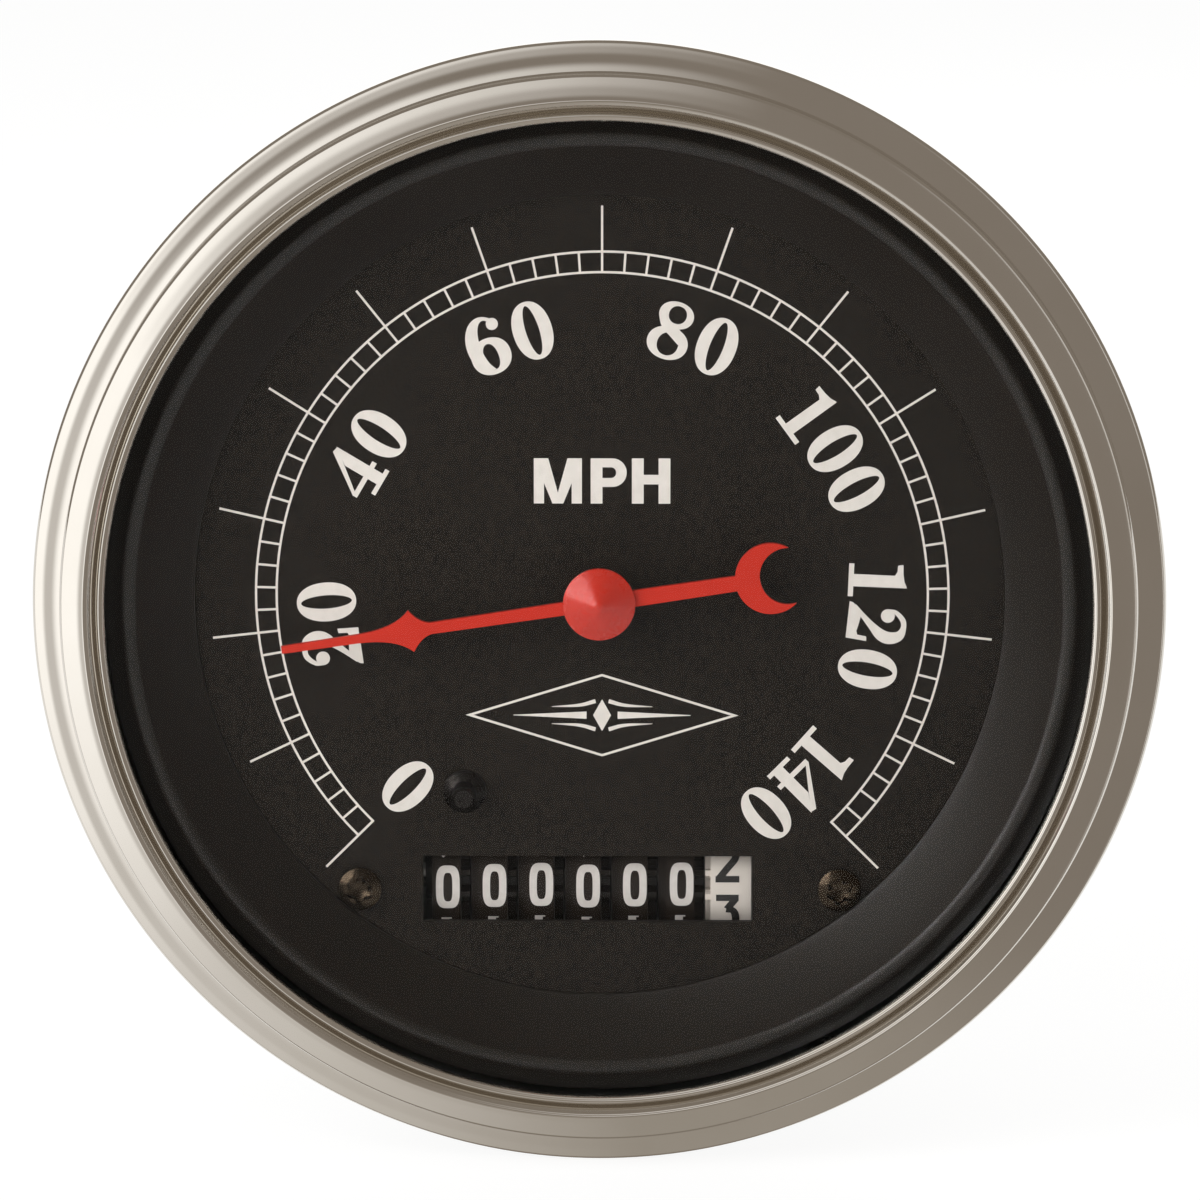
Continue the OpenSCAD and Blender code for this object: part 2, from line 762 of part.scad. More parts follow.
// Threaded stem that the drive cable screws onto
module cable_ferrule() {
    chamfer = 0.8;
    color("#a8a49a") upright() rotate_extrude() polygon([
        [ferrule_bore_r, ferrule_end], [ferrule_r - chamfer, ferrule_end],
        [ferrule_r, ferrule_end + chamfer], [ferrule_r, ferrule_root_end],
        [ferrule_root_r, ferrule_root_end], [ferrule_root_r, back_inner_z],
        [ferrule_flange_r, back_inner_z], [ferrule_flange_r, neck_z],
        [neck_r, neck_z], [neck_r, neck_z + neck_len],
        [rear_bush_r + seat_gap, neck_z + neck_len], [rear_bush_r + seat_gap, neck_z],
        [ferrule_bore_r, neck_z - 0.5]
    ]);
}

// Thin nut that clamps the ferrule to the case
module ferrule_nut() {
    color("#a29f97") upright() difference() {
        hex(nut_flats, back_z - nut_t, back_z);
        rod(ferrule_root_r + run_gap, back_z - nut_t - cut, back_z + cut);
    }
}

// Flat arm of the frame from one place on the plate to another
module arm(from, to, w) {
    run = to - from;
    translate([from[0], from[1], plate_back]) rotate([0, 0, atan2(run[1], run[0])])
        translate([0, -w / 2, 0]) cube([norm(run), w, plate_t]);
}

// Cast frame that stands on the case's back and carries the whole movement
module movement_frame() {
    lug_w = 2 * bush_r + 3.2;
    lug_reach = cross_z - bush_r - 0.9;
    bush_boss_len = 2;              // how far the front bush's boss stands behind the plate
    arm_root = 0.55 * plate_r;      // where an arm starts on the plate, along x and along y
    light_place = 0.52 * plate_r;   // middle of a lightening hole, along x and along y
    light_r = 0.17 * plate_r;
    color("#9b9b96") upright() difference() {
        union() {
            rod(plate_r, plate_back, plate_top);
            ring(rim_outer_r, rim_inner_r, plate_top - 0.5, magnet_top);
            rod(input_r + bush_t + 1.4, plate_back - bush_boss_len, plate_back + 0.5);
            for (s = [-1, 1]) {
                translate([s * post_x, 0, 0]) {
                    rod(post_r, plate_top - 0.5, bridge_back);
                    rod(post_r + 1.1, plate_back, plate_top);
                }
                translate([s * pillar_x, pillar_y, 0]) rod(pillar_r, back_inner_z, dial_back);
                arm([s * arm_root, arm_root], [s * pillar_x, pillar_y], 1.6 * pillar_r);
            }
            translate([foot_x, foot_y, 0]) rod(foot_r, back_inner_z, plate_top);
            arm([foot_x, 0], [foot_x, lug_low], 2 * lug_half);
            for (y = [cross_front_y, cross_rear_y])
                translate([cross_x - lug_w / 2, y - bearing_w / 2, lug_reach])
                    cube([lug_w, bearing_w, plate_top - lug_reach]);
            arm([cross_x, 0], [cross_x, cross_rear_y - bearing_w / 2], lug_w);
        }
        rod(input_r + bush_t + seat_gap, plate_back - bush_boss_len - cut, plate_top + cut);
        for (s = [-1, 1]) {
            translate([s * post_x, 0, 0])
                rod(bridge_screw_r + seat_gap, bridge_back - bridge_screw_hold - 1, bridge_back + cut);
            translate([s * light_place, light_place, 0])
                rod(light_r, plate_back - cut, plate_top + cut);
        }
        for (p = frame_screw_places())
            translate(p)
                rod(frame_screw_r + seat_gap, back_inner_z - cut, back_inner_z + frame_screw_hold + cut);
        along_y(cross_x, cross_rear_y - bearing_w, cross_z)
            cylinder(r = bush_r + seat_gap, h = cross_front_y - cross_rear_y + 2 * bearing_w);
        for (x = odometer_screw_places())
            translate([x, odometer_screw_y(), 0])
                rod(bridge_screw_r + hole_gap, plate_back - cut, plate_top + cut);
    }
}

function odometer_screw_places() = [for (s = [-1, 1]) foot_x + s * (lug_half - screw_edge)];
function odometer_screw_y() = shelf_y - screw_drop;

// Three screws through the case's back into the frame
module frame_screws() {
    frame_screw_len = case_wall + frame_screw_hold;
    color("#8f8f8a") upright() for (p = frame_screw_places())
        translate([p[0], p[1], back_z]) mirror([0, 0, 1])
            cheese_screw(2.1 * frame_screw_r, 1.4 * frame_screw_r, frame_screw_r, frame_screw_len);
}

// Upright shaft between the two worm drives
module cross_shaft() {
    low = window_y - cross_worm_len / 2 - 0.8;
    high = cross_front_y + bearing_w / 2 + 0.8;
    color("#b7b7b4") upright()
        along_y(cross_x, low, cross_z) cylinder(r = cross_shaft_r, h = high - low);
}

// Bronze wheel that the input worm turns
module cross_wheel() {
    w = 2.0;
    hub_w = 1.0;
    color("#c59a4a") upright() along_y(cross_x, -w / 2, cross_z) difference() {
        union() {
            gear(cross_teeth, cross_module, 0.5, w, 0.36);
            cylinder(r = 2.4 * cross_shaft_r, h = w + hub_w);
        }
        translate([0, 0, -cut]) cylinder(r = cross_shaft_r + seat_gap, h = w + hub_w + 2 * cut);
    }
}

// Small worm at the lower end of the cross shaft
module cross_worm() {
    color("#a9a9a5") upright() along_y(cross_x, window_y - cross_worm_len / 2, cross_z)
        difference() {
            worm(cross_worm_r, counter_module, cross_worm_len, -90);
            translate([0, 0, -cut])
                cylinder(r = cross_shaft_r + seat_gap, h = cross_worm_len + 2 * cut);
        }
}

// Bearings of the cross shaft in the movement's frame
module cross_bushes() {
    color("#b98f45") upright() for (y = [cross_front_y, cross_rear_y])
        along_y(cross_x, y - bearing_w / 2, cross_z) ring(bush_r, cross_shaft_r + run_gap, 0, bearing_w);
}

// Shaft across the back of the counter
module counter_shaft() {
    reach = side_x + side_t + 0.5;
    color("#b7b7b4") upright()
        along_x(-reach, window_y, counter_z) cylinder(r = counter_shaft_r, h = 2 * reach);
}

// Wheel that the cross worm turns
module counter_wheel() {
    w = 2.0;
    hub_w = 1.2;
    color("#e6e2d4") upright() along_x(cross_x - w / 2, window_y, counter_z) difference() {
        union() {
            gear(counter_teeth, counter_module, 0.5, w, 0.34);
            cylinder(r = 2.2 * counter_shaft_r, h = w + hub_w);
        }
        translate([0, 0, -cut])
            cylinder(r = counter_shaft_r + seat_gap, h = w + hub_w + 2 * cut);
    }
}

// Gear on the counter shaft that turns the tenths gear
module counter_gear() {
    hub_w = 1.2;
    color("#e6e2d4") upright() along_x(gear_x + hole_gap, window_y, counter_z) difference() {
        union() {
            gear(drive_teeth, spur_module, 0.5, drive_w);
            translate([0, 0, -hub_w]) cylinder(r = 2.2 * counter_shaft_r, h = hub_w + drive_w);
        }
        translate([0, 0, -hub_w - cut])
            cylinder(r = counter_shaft_r + seat_gap, h = hub_w + drive_w + 2 * cut);
    }
}

// Outline of one side plate of the counter's frame, drawn with x towards the back and y up
module side_outline() {
    front = -dial_back + frame_drop;
    rear = -counter_z + 3.4 * counter_shaft_r;
    low = carry_y - 2.2;
    high = shelf_y + shelf_t;
    half = 4 * counter_shaft_r;
    heel = -drum_z + 5;             // where the lower edge begins to rise
    polygon([
        [front, low], [heel, low], [rear, window_y - half], [rear, window_y + half],
        [-plate_top, high], [front, high]
    ]);
}

// Pressed frame that carries the drums, with tabs for the dial screws
module odometer_frame() {
    tab_x = dial_screw_x + 2.2 * screw_shank_r;
    tab_half = 2.4 * screw_shank_r;
    front_z = dial_back - frame_drop;
    foot_half = 2;                  // half width of the feet that the frame's screws go into
    foot_t = 1.2;
    color("#b3b0a6") upright() difference() {
        union() {
            for (x = [-side_x - side_t, side_x])
                along_x(x, 0, 0) linear_extrude(height = side_t) side_outline();
            translate([-side_x - side_t, shelf_y, plate_top])
                cube([2 * (side_x + side_t), shelf_t, front_z - plate_top]);
            for (x = odometer_screw_places())
                translate([x - foot_half, odometer_screw_y() - screw_drop, plate_top])
                    cube([2 * foot_half, shelf_y - odometer_screw_y() + screw_drop + hole_gap, foot_t]);
            for (s = [-1, 1]) {
                translate([s > 0 ? side_x : -tab_x, window_y - tab_half, dial_back - tab_t])
                    cube([tab_x - side_x, 2 * tab_half, tab_t]);
                translate([s > 0 ? side_x : -side_x - side_t, window_y - tab_half, front_z - 0.5])
                    cube([side_t, 2 * tab_half, dial_back - front_z + 0.5]);
            }
        }
        for (s = [-1, 1]) translate([s * dial_screw_x, window_y, 0])
            rod(screw_shank_r + seat_gap, dial_back - tab_t - cut, dial_back + cut);
        for (x = odometer_screw_places()) translate([x, odometer_screw_y(), 0])
            rod(bridge_screw_r + seat_gap, plate_top - cut, plate_top + 2);
        side_hole(window_y, drum_z, drum_shaft_r + seat_gap);
        side_hole(carry_y, drum_z, carry_shaft_r + seat_gap);
        side_hole(window_y, counter_z, counter_shaft_r + run_gap);
    }
}

// A hole through both side plates
module side_hole(y, z, r) {
    along_x(-side_x - side_t - cut, y, z) cylinder(r = r, h = 2 * (side_x + side_t + cut));
}

// Two screws through the movement's frame into the feet of the counter's frame
module odometer_screws() {
    hold = 1.2;
    color("#8f8f8a") upright() for (x = odometer_screw_places())
        translate([x, odometer_screw_y(), plate_back]) mirror([0, 0, 1])
            cheese_screw(1.9 * bridge_screw_r, 1.25 * bridge_screw_r, bridge_screw_r, plate_t + hold);
}

// Fixed shaft that the drums turn on
module odometer_shaft() {
    reach = side_x + side_t + 0.8;
    color("#c4c4c0") upright()
        along_x(-reach, window_y, drum_z) cylinder(r = drum_shaft_r, h = 2 * reach);
}

// Gear fixed to the white drum
module tenths_gear() {
    hub = 2.8;
    color("#e9e6dc") upright() along_x(gear_x, window_y, drum_z) difference() {
        union() {
            gear(tenths_gear_teeth, spur_module, 0, gear_w);
            cylinder(r = hub, h = side_x - gear_x - hole_gap);
        }
        translate([0, 0, -cut])
            cylinder(r = drum_shaft_r + run_gap, h = side_x - gear_x + 2 * cut);
    }
}

// Locking disc with the notch and two teeth that turn the next pinion once each turn
module lock_disc(w, past) {
    facing = -90 - past;
    linear_extrude(height = w) difference() {
        union() {
            circle(r = lock_r);
            for (a = [-9, 9]) rotate(facing + a) polygon([
                [lock_r - 0.6, -0.42], [carry_tooth_r, -0.24],
                [carry_tooth_r, 0.24], [lock_r - 0.6, 0.42]
            ]);
        }
        rotate(facing) polygon([
            [lock_r - 0.9, -0.45], [lock_r + cut, -0.6], [lock_r + cut, 0.6], [lock_r - 0.9, 0.45]
        ]);
    }
}

// A number drum along x, centred on its printed band: hollow rim, web, hub, toothed ring on its
// right and locking disc on its left
module drum(w, lock_w, hub_right, has_ring, past) {
    rim = 0.7;
    web = 0.9;
    hub = 2.6;
    bite = 0.1;                     // how far the locking disc's teeth run into the rim
    difference() {
        union() {
            difference() {
                rod(drum_r, -w / 2, w / 2);
                rod(drum_r - rim, -w / 2 - cut, -web / 2);
                rod(drum_r - rim, web / 2, w / 2 + cut);
            }
            rod(hub, -w / 2 - lock_w - run_gap, hub_right);
            if (has_ring) {
                rod(drum_r - rim - 0.9, 0, w / 2);
                translate([0, 0, w / 2])
                    gear(carry_ring_teeth, carry_module, 0.5, ring_w, 0.38);
            }
            if (past > 0) {
                rod(drum_r - rim - 0.9, -w / 2, 0);
                translate([0, 0, -w / 2 - lock_w]) lock_disc(lock_w + bite, past);
            }
        }
        rod(drum_shaft_r + run_gap, -w - cut, w + cut);
    }
}

function drum_x(i) = first_drum_x + (i - 1) * drum_pitch;

// Space between the printed bands of a drum and of its neighbour on the right
function gap_after(i) =
    i < black_drums ? drum_pitch - band_w : tenths_gap;

function lock_width(i) = gap_after(i) - ring_w - ring_gap;

module digit_drum(i) {
    color("#171513") upright() along_x(drum_x(i), window_y, drum_z)
        drum(band_w, lock_width(1), band_w / 2 + ring_w + run_gap, true, i > 1 ? carry_past_deg : 0);
}

module digit_drum_1() { digit_drum(1); }
module digit_drum_2() { digit_drum(2); }
module digit_drum_3() { digit_drum(3); }
module digit_drum_4() { digit_drum(4); }
module digit_drum_5() { digit_drum(5); }
module digit_drum_6() { digit_drum(6); }

// White drum that counts tenths, shown half way between two digits
module tenths_drum() {
    tenths_past = 2.5 * carry_past_deg;
    color("#e8e4da") upright() along_x(tenths_x, window_y, drum_z)
        drum(tenths_w, lock_width(black_drums), gear_x - tenths_x, false, tenths_past);
}

// Pinion between two drums: all its teeth mesh with the ring on its left and every second one
// reaches on over the locking disc on its right
module carry_pinion(i) {
    start = drum_x(i) + band_w / 2 + run_gap;
    long_w = gap_after(i) - 2 * run_gap;
    color("#2c2a27") upright() along_x(start, carry_y, drum_z) difference() {
        union() {
            gear(carry_teeth, carry_module, 0, ring_w, 0.3);
            linear_extrude(height = long_w) intersection() {
                polygon(gear_points(carry_teeth, carry_module, 0, 0.3));
                union() {
                    circle(r = carry_r - 0.55);
                    for (a = [45, 135]) rotate(a) square([4 * carry_r, 1.3], center = true);
                }
            }
        }
        translate([0, 0, -cut]) cylinder(r = carry_shaft_r + run_gap, h = long_w + 2 * cut);
    }
}

module carry_pinion_1() { carry_pinion(1); }
module carry_pinion_2() { carry_pinion(2); }
module carry_pinion_3() { carry_pinion(3); }
module carry_pinion_4() { carry_pinion(4); }
module carry_pinion_5() { carry_pinion(5); }
module carry_pinion_6() { carry_pinion(6); }

// Fixed shaft that the carry pinions turn on
module carry_shaft() {
    reach = side_x + side_t + 0.5;
    color("#c4c4c0") upright()
        along_x(-reach, carry_y, drum_z) cylinder(r = carry_shaft_r, h = 2 * reach);
}

// Plug-in holders for the two lamps
module lamp_holders() {
    wing = 1.4;
    wing_half = 1;
    color("#1d1c1b") upright() for (s = [-1, 1])
        translate([s * lamp_place[0], lamp_place[1], 0]) difference() {
            union() {
                rod(lamp_r, back_z - 0.5, back_inner_z + lamp_socket_len);
                rod(lamp_r + 2.2, back_z - lamp_flange_t, back_z);
                rod(lamp_r - 0.4, grip_end, back_z - lamp_flange_t);
                translate([-lamp_r - wing, -wing_half, grip_end])
                    cube([2 * (lamp_r + wing), 2 * wing_half, lamp_grip_t]);
            }
            rod(bulb_base_r + hole_gap, back_inner_z, back_inner_z + lamp_socket_len + cut);
        }
}

// Wedge base lamps
module lamp_bulbs() {
    base_z = back_inner_z + 1;
    neck = back_inner_z + lamp_socket_len + hole_gap;
    shoulder = 2;
    top = neck + bulb_len;
    color([1, 0.95, 0.8, 0.6]) upright() for (s = [-1, 1])
        translate([s * lamp_place[0], lamp_place[1], 0]) rotate_extrude() polygon(concat(
            [[0, base_z], [bulb_base_r, base_z], [bulb_base_r, neck], [bulb_r, neck + shoulder]],
            arc([0, top - bulb_r], bulb_r, 0, 90, 7)
        ));
}

// Flat blades that feed the lamps
module lamp_terminals() {
    blade_w = 4.8;
    blade_t = 0.8;
    blade_len = 8;
    apart = 4.8;
    hole_r = 0.8;
    hole_up = 3;
    color("#c9a45a") upright() for (s = [-1, 1], k = [-0.5, 0.5])
        translate([
            s * lamp_place[0] - blade_w / 2,
            lamp_place[1] + k * apart - blade_t / 2,
            grip_end - blade_len
        ])
            difference() {
                cube([blade_w, blade_t, blade_len]);
                translate([blade_w / 2, -cut, hole_up]) rotate([-90, 0, 0])
                    cylinder(r = hole_r, h = blade_t + 2 * cut);
            }
}

// Studs for the clamp bracket behind the panel
module mounting_studs() {
    tip = back_z - stud_len;
    chamfer = 0.5;
    color("#b5b2a8") upright() for (s = [-1, 1]) translate([s * stud_x, 0, 0])
        rotate_extrude() polygon([
            [0, tip], [stud_r - chamfer, tip], [stud_r, tip + chamfer], [stud_r, stud_root_end],
            [stud_root_r, stud_root_end], [stud_root_r, back_inner_z],
            [stud_head_r, back_inner_z], [stud_head_r, back_inner_z + stud_head_t],
            [0, back_inner_z + stud_head_t]
        ]);
}

// Nuts that clamp the studs to the case's back
module stud_nuts() {
    low = back_z - washer_t - stud_nut_t;
    color("#b5b2a8") upright() for (s = [-1, 1]) translate([s * stud_x, 0, 0]) difference() {
        hex(stud_nut_flats, low, back_z - washer_t);
        rod(stud_root_r + run_gap, low - cut, back_z);
    }
}

// Washers under the studs' nuts
module stud_washers() {
    color("#c2bfb5") upright() for (s = [-1, 1]) translate([s * stud_x, 0, 0])
        ring(washer_r, stud_root_r + hole_gap, back_z - washer_t, back_z);
}

bezel();
lens();
lens_gasket();
case_shell();
dial_surround();
dial_plate();
dial_screws();
stop_peg();
pointer();
pointer_cap();
pointer_staff();
speed_cup();
hairspring();
hairspring_collet();
hairspring_stud();
bridge_plate();
bridge_screws();
staff_bush();
flux_ring();
magnet();
input_shaft();
input_worm();
front_bush();
rear_bush();
cable_ferrule();
ferrule_nut();
movement_frame();
frame_screws();
cross_shaft();
cross_wheel();
cross_worm();
cross_bushes();
counter_shaft();
counter_wheel();
counter_gear();
odometer_frame();
odometer_screws();
odometer_shaft();
tenths_gear();
tenths_drum();
digit_drum_1();
digit_drum_2();
digit_drum_3();
digit_drum_4();
digit_drum_5();
digit_drum_6();
carry_pinion_1();
carry_pinion_2();
carry_pinion_3();
carry_pinion_4();
carry_pinion_5();
carry_pinion_6();
carry_shaft();
lamp_holders();
lamp_bulbs();
lamp_terminals();
mounting_studs();
stud_nuts();
stud_washers();
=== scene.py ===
"""Looks of a cable-driven dashboard speedometer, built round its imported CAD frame.

Shapes are worked out in the dial's own frame, in millimetres: x to the right, y up the dial and
z towards the viewer, with z = 0 where the bezel meets the panel. upright() then stands the dial
up in the CAD's frame, in metres, facing -Y with its cable inlet at +Y.
"""

import logging
import math
from collections.abc import Callable, Sequence
from dataclasses import dataclass, field
from enum import Enum

import bmesh
import bpy
import numpy as np
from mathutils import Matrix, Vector


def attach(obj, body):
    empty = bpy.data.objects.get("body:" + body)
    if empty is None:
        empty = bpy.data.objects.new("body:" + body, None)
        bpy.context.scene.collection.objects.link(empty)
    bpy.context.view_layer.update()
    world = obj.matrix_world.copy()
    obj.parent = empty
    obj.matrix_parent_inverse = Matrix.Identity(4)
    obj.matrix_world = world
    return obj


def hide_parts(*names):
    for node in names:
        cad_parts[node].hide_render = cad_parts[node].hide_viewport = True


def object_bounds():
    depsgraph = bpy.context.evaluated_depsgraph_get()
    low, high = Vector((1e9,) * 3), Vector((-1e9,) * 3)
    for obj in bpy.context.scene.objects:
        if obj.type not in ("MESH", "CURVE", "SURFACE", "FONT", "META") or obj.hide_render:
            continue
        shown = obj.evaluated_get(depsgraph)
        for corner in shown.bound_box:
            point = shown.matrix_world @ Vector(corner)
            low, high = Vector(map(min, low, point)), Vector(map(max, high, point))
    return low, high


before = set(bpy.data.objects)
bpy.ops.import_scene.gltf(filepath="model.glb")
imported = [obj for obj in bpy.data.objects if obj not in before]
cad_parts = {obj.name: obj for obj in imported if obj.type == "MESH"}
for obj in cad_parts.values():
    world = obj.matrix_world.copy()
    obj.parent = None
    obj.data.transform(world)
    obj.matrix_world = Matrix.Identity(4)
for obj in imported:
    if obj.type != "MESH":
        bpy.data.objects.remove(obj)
CAD_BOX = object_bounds()

log = logging.getLogger("speedometer")

MM = 0.001
MERGE_M = 1e-7                          # points this close together are one
METAL_IOR = 1.5                         # Blender's default, which metals keep
NOISE_LOW, NOISE_HIGH = 0.3, 0.7        # Blender's noise mostly lies between these
STUD_X = 31.75                          # the studs and their nuts stand this far to each side
INK_SUNK = -0.01                        # ink starts this far down in the paint, in millimetres
INK_STEP = 0.002                        # and each stroke ends this much above the last

Placer = Callable[[np.ndarray], np.ndarray]
Points = Sequence[Sequence[float]]
Pair = tuple[float, float]
Triple = tuple[float, float, float]
Piece = bpy.types.Object
Tree = bpy.types.NodeTree
Node = bpy.types.Node
Socket = bpy.types.NodeSocket


class Body(Enum):
    """CAD bodies that the new pieces ride on, the number drums by their place from the left."""

    HOUSING = "housing"
    DIGIT_1 = "digit_1"
    DIGIT_2 = "digit_2"
    DIGIT_3 = "digit_3"
    DIGIT_4 = "digit_4"
    DIGIT_5 = "digit_5"
    DIGIT_6 = "digit_6"
    TENTHS = "tenths"


class Slot(Enum):
    """The record's material slots, named beside the new pieces."""

    POLISHED = "polished_steel"
    SURROUND = "black_surround"
    BLACKENED = "blackened_steel"
    PLATED = "plated_steel"


# Shapes


def upright(points: np.ndarray) -> np.ndarray:
    """Stands dial-frame millimetres up as world metres: (x, y, z) becomes (x, -z, y) / 1000."""
    x, y, z = np.moveaxis(np.asarray(points, float), -1, 0)
    return np.stack([x, -z, y], axis=-1) * MM


def arc(centre: Sequence[float], radii: float | Sequence[float], start: float, end: float,
        count: int) -> np.ndarray:
    """Points along a circle or ellipse: centre + (a cos t, b sin t), t even from start to end.

    Args:
        centre: Middle of the ellipse.
        radii: One radius, or the two half axes.
        start: First angle in degrees, anticlockwise from +x.
        end: Last angle in degrees.
        count: Number of points.

    Returns:
        Array of count by 2.
    """
    turn = np.radians(np.linspace(start, end, count))
    half = np.broadcast_to(np.asarray(radii, float), (2,))
    return np.asarray(centre, float) + np.stack([half[0] * np.cos(turn), half[1] * np.sin(turn)], 1)


def bow(start: Sequence[float], pull: Sequence[float], end: Sequence[float], count: int) -> np.ndarray:
    """Points along a quadratic curve: (1-t)^2 start + 2t(1-t) pull + t^2 end.

    Args:
        start: First point.
        pull: Point that the curve leans towards.
        end: Last point.
        count: Number of points.

    Returns:
        Array of count by 2.
    """
    t = np.linspace(0, 1, count)[:, None]
    a, b, c = (np.asarray(p, float) for p in (start, pull, end))
    return (1 - t) ** 2 * a + 2 * t * (1 - t) * b + t ** 2 * c


def spline(knots: Points, count: int, closed: bool = False) -> np.ndarray:
    """Catmull-Rom curve through every knot, each column taken as one coordinate.

    Args:
        knots: Rows of coordinates, two or more to a row.
        count: Number of points in the result.
        closed: Whether the last knot runs on into the first.

    Returns:
        Array of count rows.
    """
    k = np.asarray(knots, float)
    before, after = (k[-1:], k[:2]) if closed else (2 * k[:1] - k[1:2], 2 * k[-1:] - k[-2:-1])
    padded = np.vstack([before, k, after])
    spans = len(k) if closed else len(k) - 1
    u = np.linspace(0, spans, count, endpoint=not closed)
    i = np.minimum(u.astype(int), spans - 1)
    t = (u - i)[:, None]
    a, b, c, d = (padded[i + j] for j in range(4))
    return 0.5 * (2 * b + (c - a) * t + (2 * a - 5 * b + 4 * c - d) * t ** 2
                  + (3 * b - a - 3 * c + d) * t ** 3)


def grid_faces(rows: int, cols: int, wrap_rows: bool, wrap_cols: bool) -> np.ndarray:
    """Four-sided faces of a grid of rows by cols points, numbered row by row.

    Args:
        rows: Points down the grid.
        cols: Points across it.
        wrap_rows: Whether the last row joins the first.
        wrap_cols: Whether the last column joins the first.

    Returns:
        Array of faces by 4.
    """
    i = np.arange(rows if wrap_rows else rows - 1)[:, None]
    j = np.arange(cols if wrap_cols else cols - 1)[None, :]
    below, right = (i + 1) % rows, (j + 1) % cols
    corners = [i * cols + j, i * cols + right, below * cols + right, below * cols + j]
    return np.stack(np.broadcast_arrays(*corners), -1).reshape(-1, 4)


@dataclass
class Surface:
    """Points in the dial's frame, in millimetres, with the faces between them."""

    points: np.ndarray
    faces: np.ndarray

    @classmethod
    def joined(cls, parts: Sequence["Surface"]) -> "Surface":
        """One surface that holds all the parts side by side."""
        offsets = np.cumsum([0] + [len(p.points) for p in parts[:-1]])
        return cls(np.vstack([p.points for p in parts]),
                   np.vstack([p.faces + o for p, o in zip(parts, offsets)]))

    def moved(self, place: Placer) -> "Surface":
        """This surface with its points put through place."""
        return Surface(place(self.points), self.faces)


def lathe(profile: np.ndarray, segments: int, closed: bool = True, dent: np.ndarray | None = None,
          drop: np.ndarray | None = None) -> Surface:
    """Turns a profile round the z axis: (r, z) becomes (r cos t, r sin t, z).

    Args:
        profile: Rows of radius and height.
        segments: Steps round the axis.
        closed: Whether the profile's last point joins its first.
        dent: Cut in the radius, for each row and step.
        drop: Cut in the height, for each row and step.

    Returns:
        The turned surface.
    """
    t = turns(segments)
    radius = np.repeat(profile[:, :1], segments, 1) - (0 if dent is None else dent)
    height = np.repeat(profile[:, 1:2], segments, 1) - (0 if drop is None else drop)
    points = np.stack([radius * np.cos(t), radius * np.sin(t), height], -1).reshape(-1, 3)
    return Surface(points, grid_faces(len(profile), segments, closed, True))


def turns(segments: int) -> np.ndarray:
    """Angles in radians of so many even steps round an axis, without the last that closes it."""
    return np.linspace(0, 2 * np.pi, segments, endpoint=False)


def shifted(x: float, y: float, z: float) -> Placer:
    """Placing that moves points by so many millimetres each way."""
    return lambda points: points + np.array([x, y, z])


def slab(left: np.ndarray, right: np.ndarray, low: float, high: float, closed: bool) -> Surface:
    """A flat strip of ink between two edges: a four-cornered section carried along both.

    Args:
        left: Points of one edge.
        right: The matching points of the other.
        low: Height of the underside.
        high: Height of the top.
        closed: Whether the strip runs round into its own start.

    Returns:
        A closed surface.
    """
    rows = len(left)
    corners = [(left, high), (right, high), (right, low), (left, low)]
    points = np.stack([np.column_stack([edge, np.full(rows, h)]) for edge, h in corners], 1)
    faces = grid_faces(rows, 4, closed, True)
    if not closed:
        last = 4 * (rows - 1)
        faces = np.vstack([faces, [[3, 2, 1, 0]], [[last, last + 1, last + 2, last + 3]]])
    return Surface(points.reshape(-1, 3), faces)


def edges_of(path: np.ndarray, width: float | np.ndarray,
             closed: bool) -> tuple[np.ndarray, np.ndarray]:
    """Both edges of a pen stroke: the path moved half the width along its normal, each way.

    Args:
        path: Points along the middle of the stroke.
        width: Width of the stroke, one for all or one to a point.
        closed: Whether the stroke runs round.

    Returns:
        The left and the right edge.
    """
    if closed:
        along = np.roll(path, -1, 0) - np.roll(path, 1, 0)
    else:
        along = np.gradient(path, axis=0)
    along /= np.linalg.norm(along, axis=1, keepdims=True)
    half = np.broadcast_to(np.asarray(width, float) / 2, (len(path),))[:, None]
    normal = np.column_stack([-along[:, 1], along[:, 0]])
    return path + normal * half, path - normal * half


def make_piece(name: str, surface: Surface, sharp_deg: float = 35.0) -> Piece:
    """Puts a surface into a mesh object at the origin, upright, merged and with faces outward.

    Args:
        name: Name of the piece.
        surface: Its shape in the dial's frame.
        sharp_deg: Angle between two faces above which their edge stays sharp.

    Returns:
        The new object, linked to the scene.
    """
    mesh = bpy.data.meshes.new(name)
    points, faces = upright(surface.points), surface.faces
    mesh.vertices.add(len(points))
    mesh.vertices.foreach_set("co", points.ravel())
    mesh.loops.add(faces.size)
    mesh.loops.foreach_set("vertex_index", faces.ravel().astype(np.int32))
    mesh.polygons.add(len(faces))
    mesh.polygons.foreach_set("loop_start", np.arange(0, faces.size, 4, dtype=np.int32))
    mesh.update(calc_edges=True)
    mesh.validate()
    work = bmesh.new()
    work.from_mesh(mesh)
    bmesh.ops.remove_doubles(work, verts=work.verts, dist=MERGE_M)
    bmesh.ops.recalc_face_normals(work, faces=work.faces)
    work.to_mesh(mesh)
    work.free()
    mesh.polygons.foreach_set("use_smooth", np.ones(len(mesh.polygons), bool))
    mesh.set_sharp_from_angle(angle=math.radians(sharp_deg))
    piece = bpy.data.objects.new(name, mesh)
    bpy.context.scene.collection.objects.link(piece)
    return piece


# Finishes


def linear(colour: str) -> tuple[float, float, float, float]:
    """An sRGB colour such as "#c9c4b8" as the linear values that Blender's sockets take."""
    shares = np.array([int(colour[i:i + 2], 16) for i in (1, 3, 5)]) / 255
    values = np.where(shares <= 0.04045, shares / 12.92, ((shares + 0.055) / 1.055) ** 2.4)
    return (*map(float, values), 1.0)


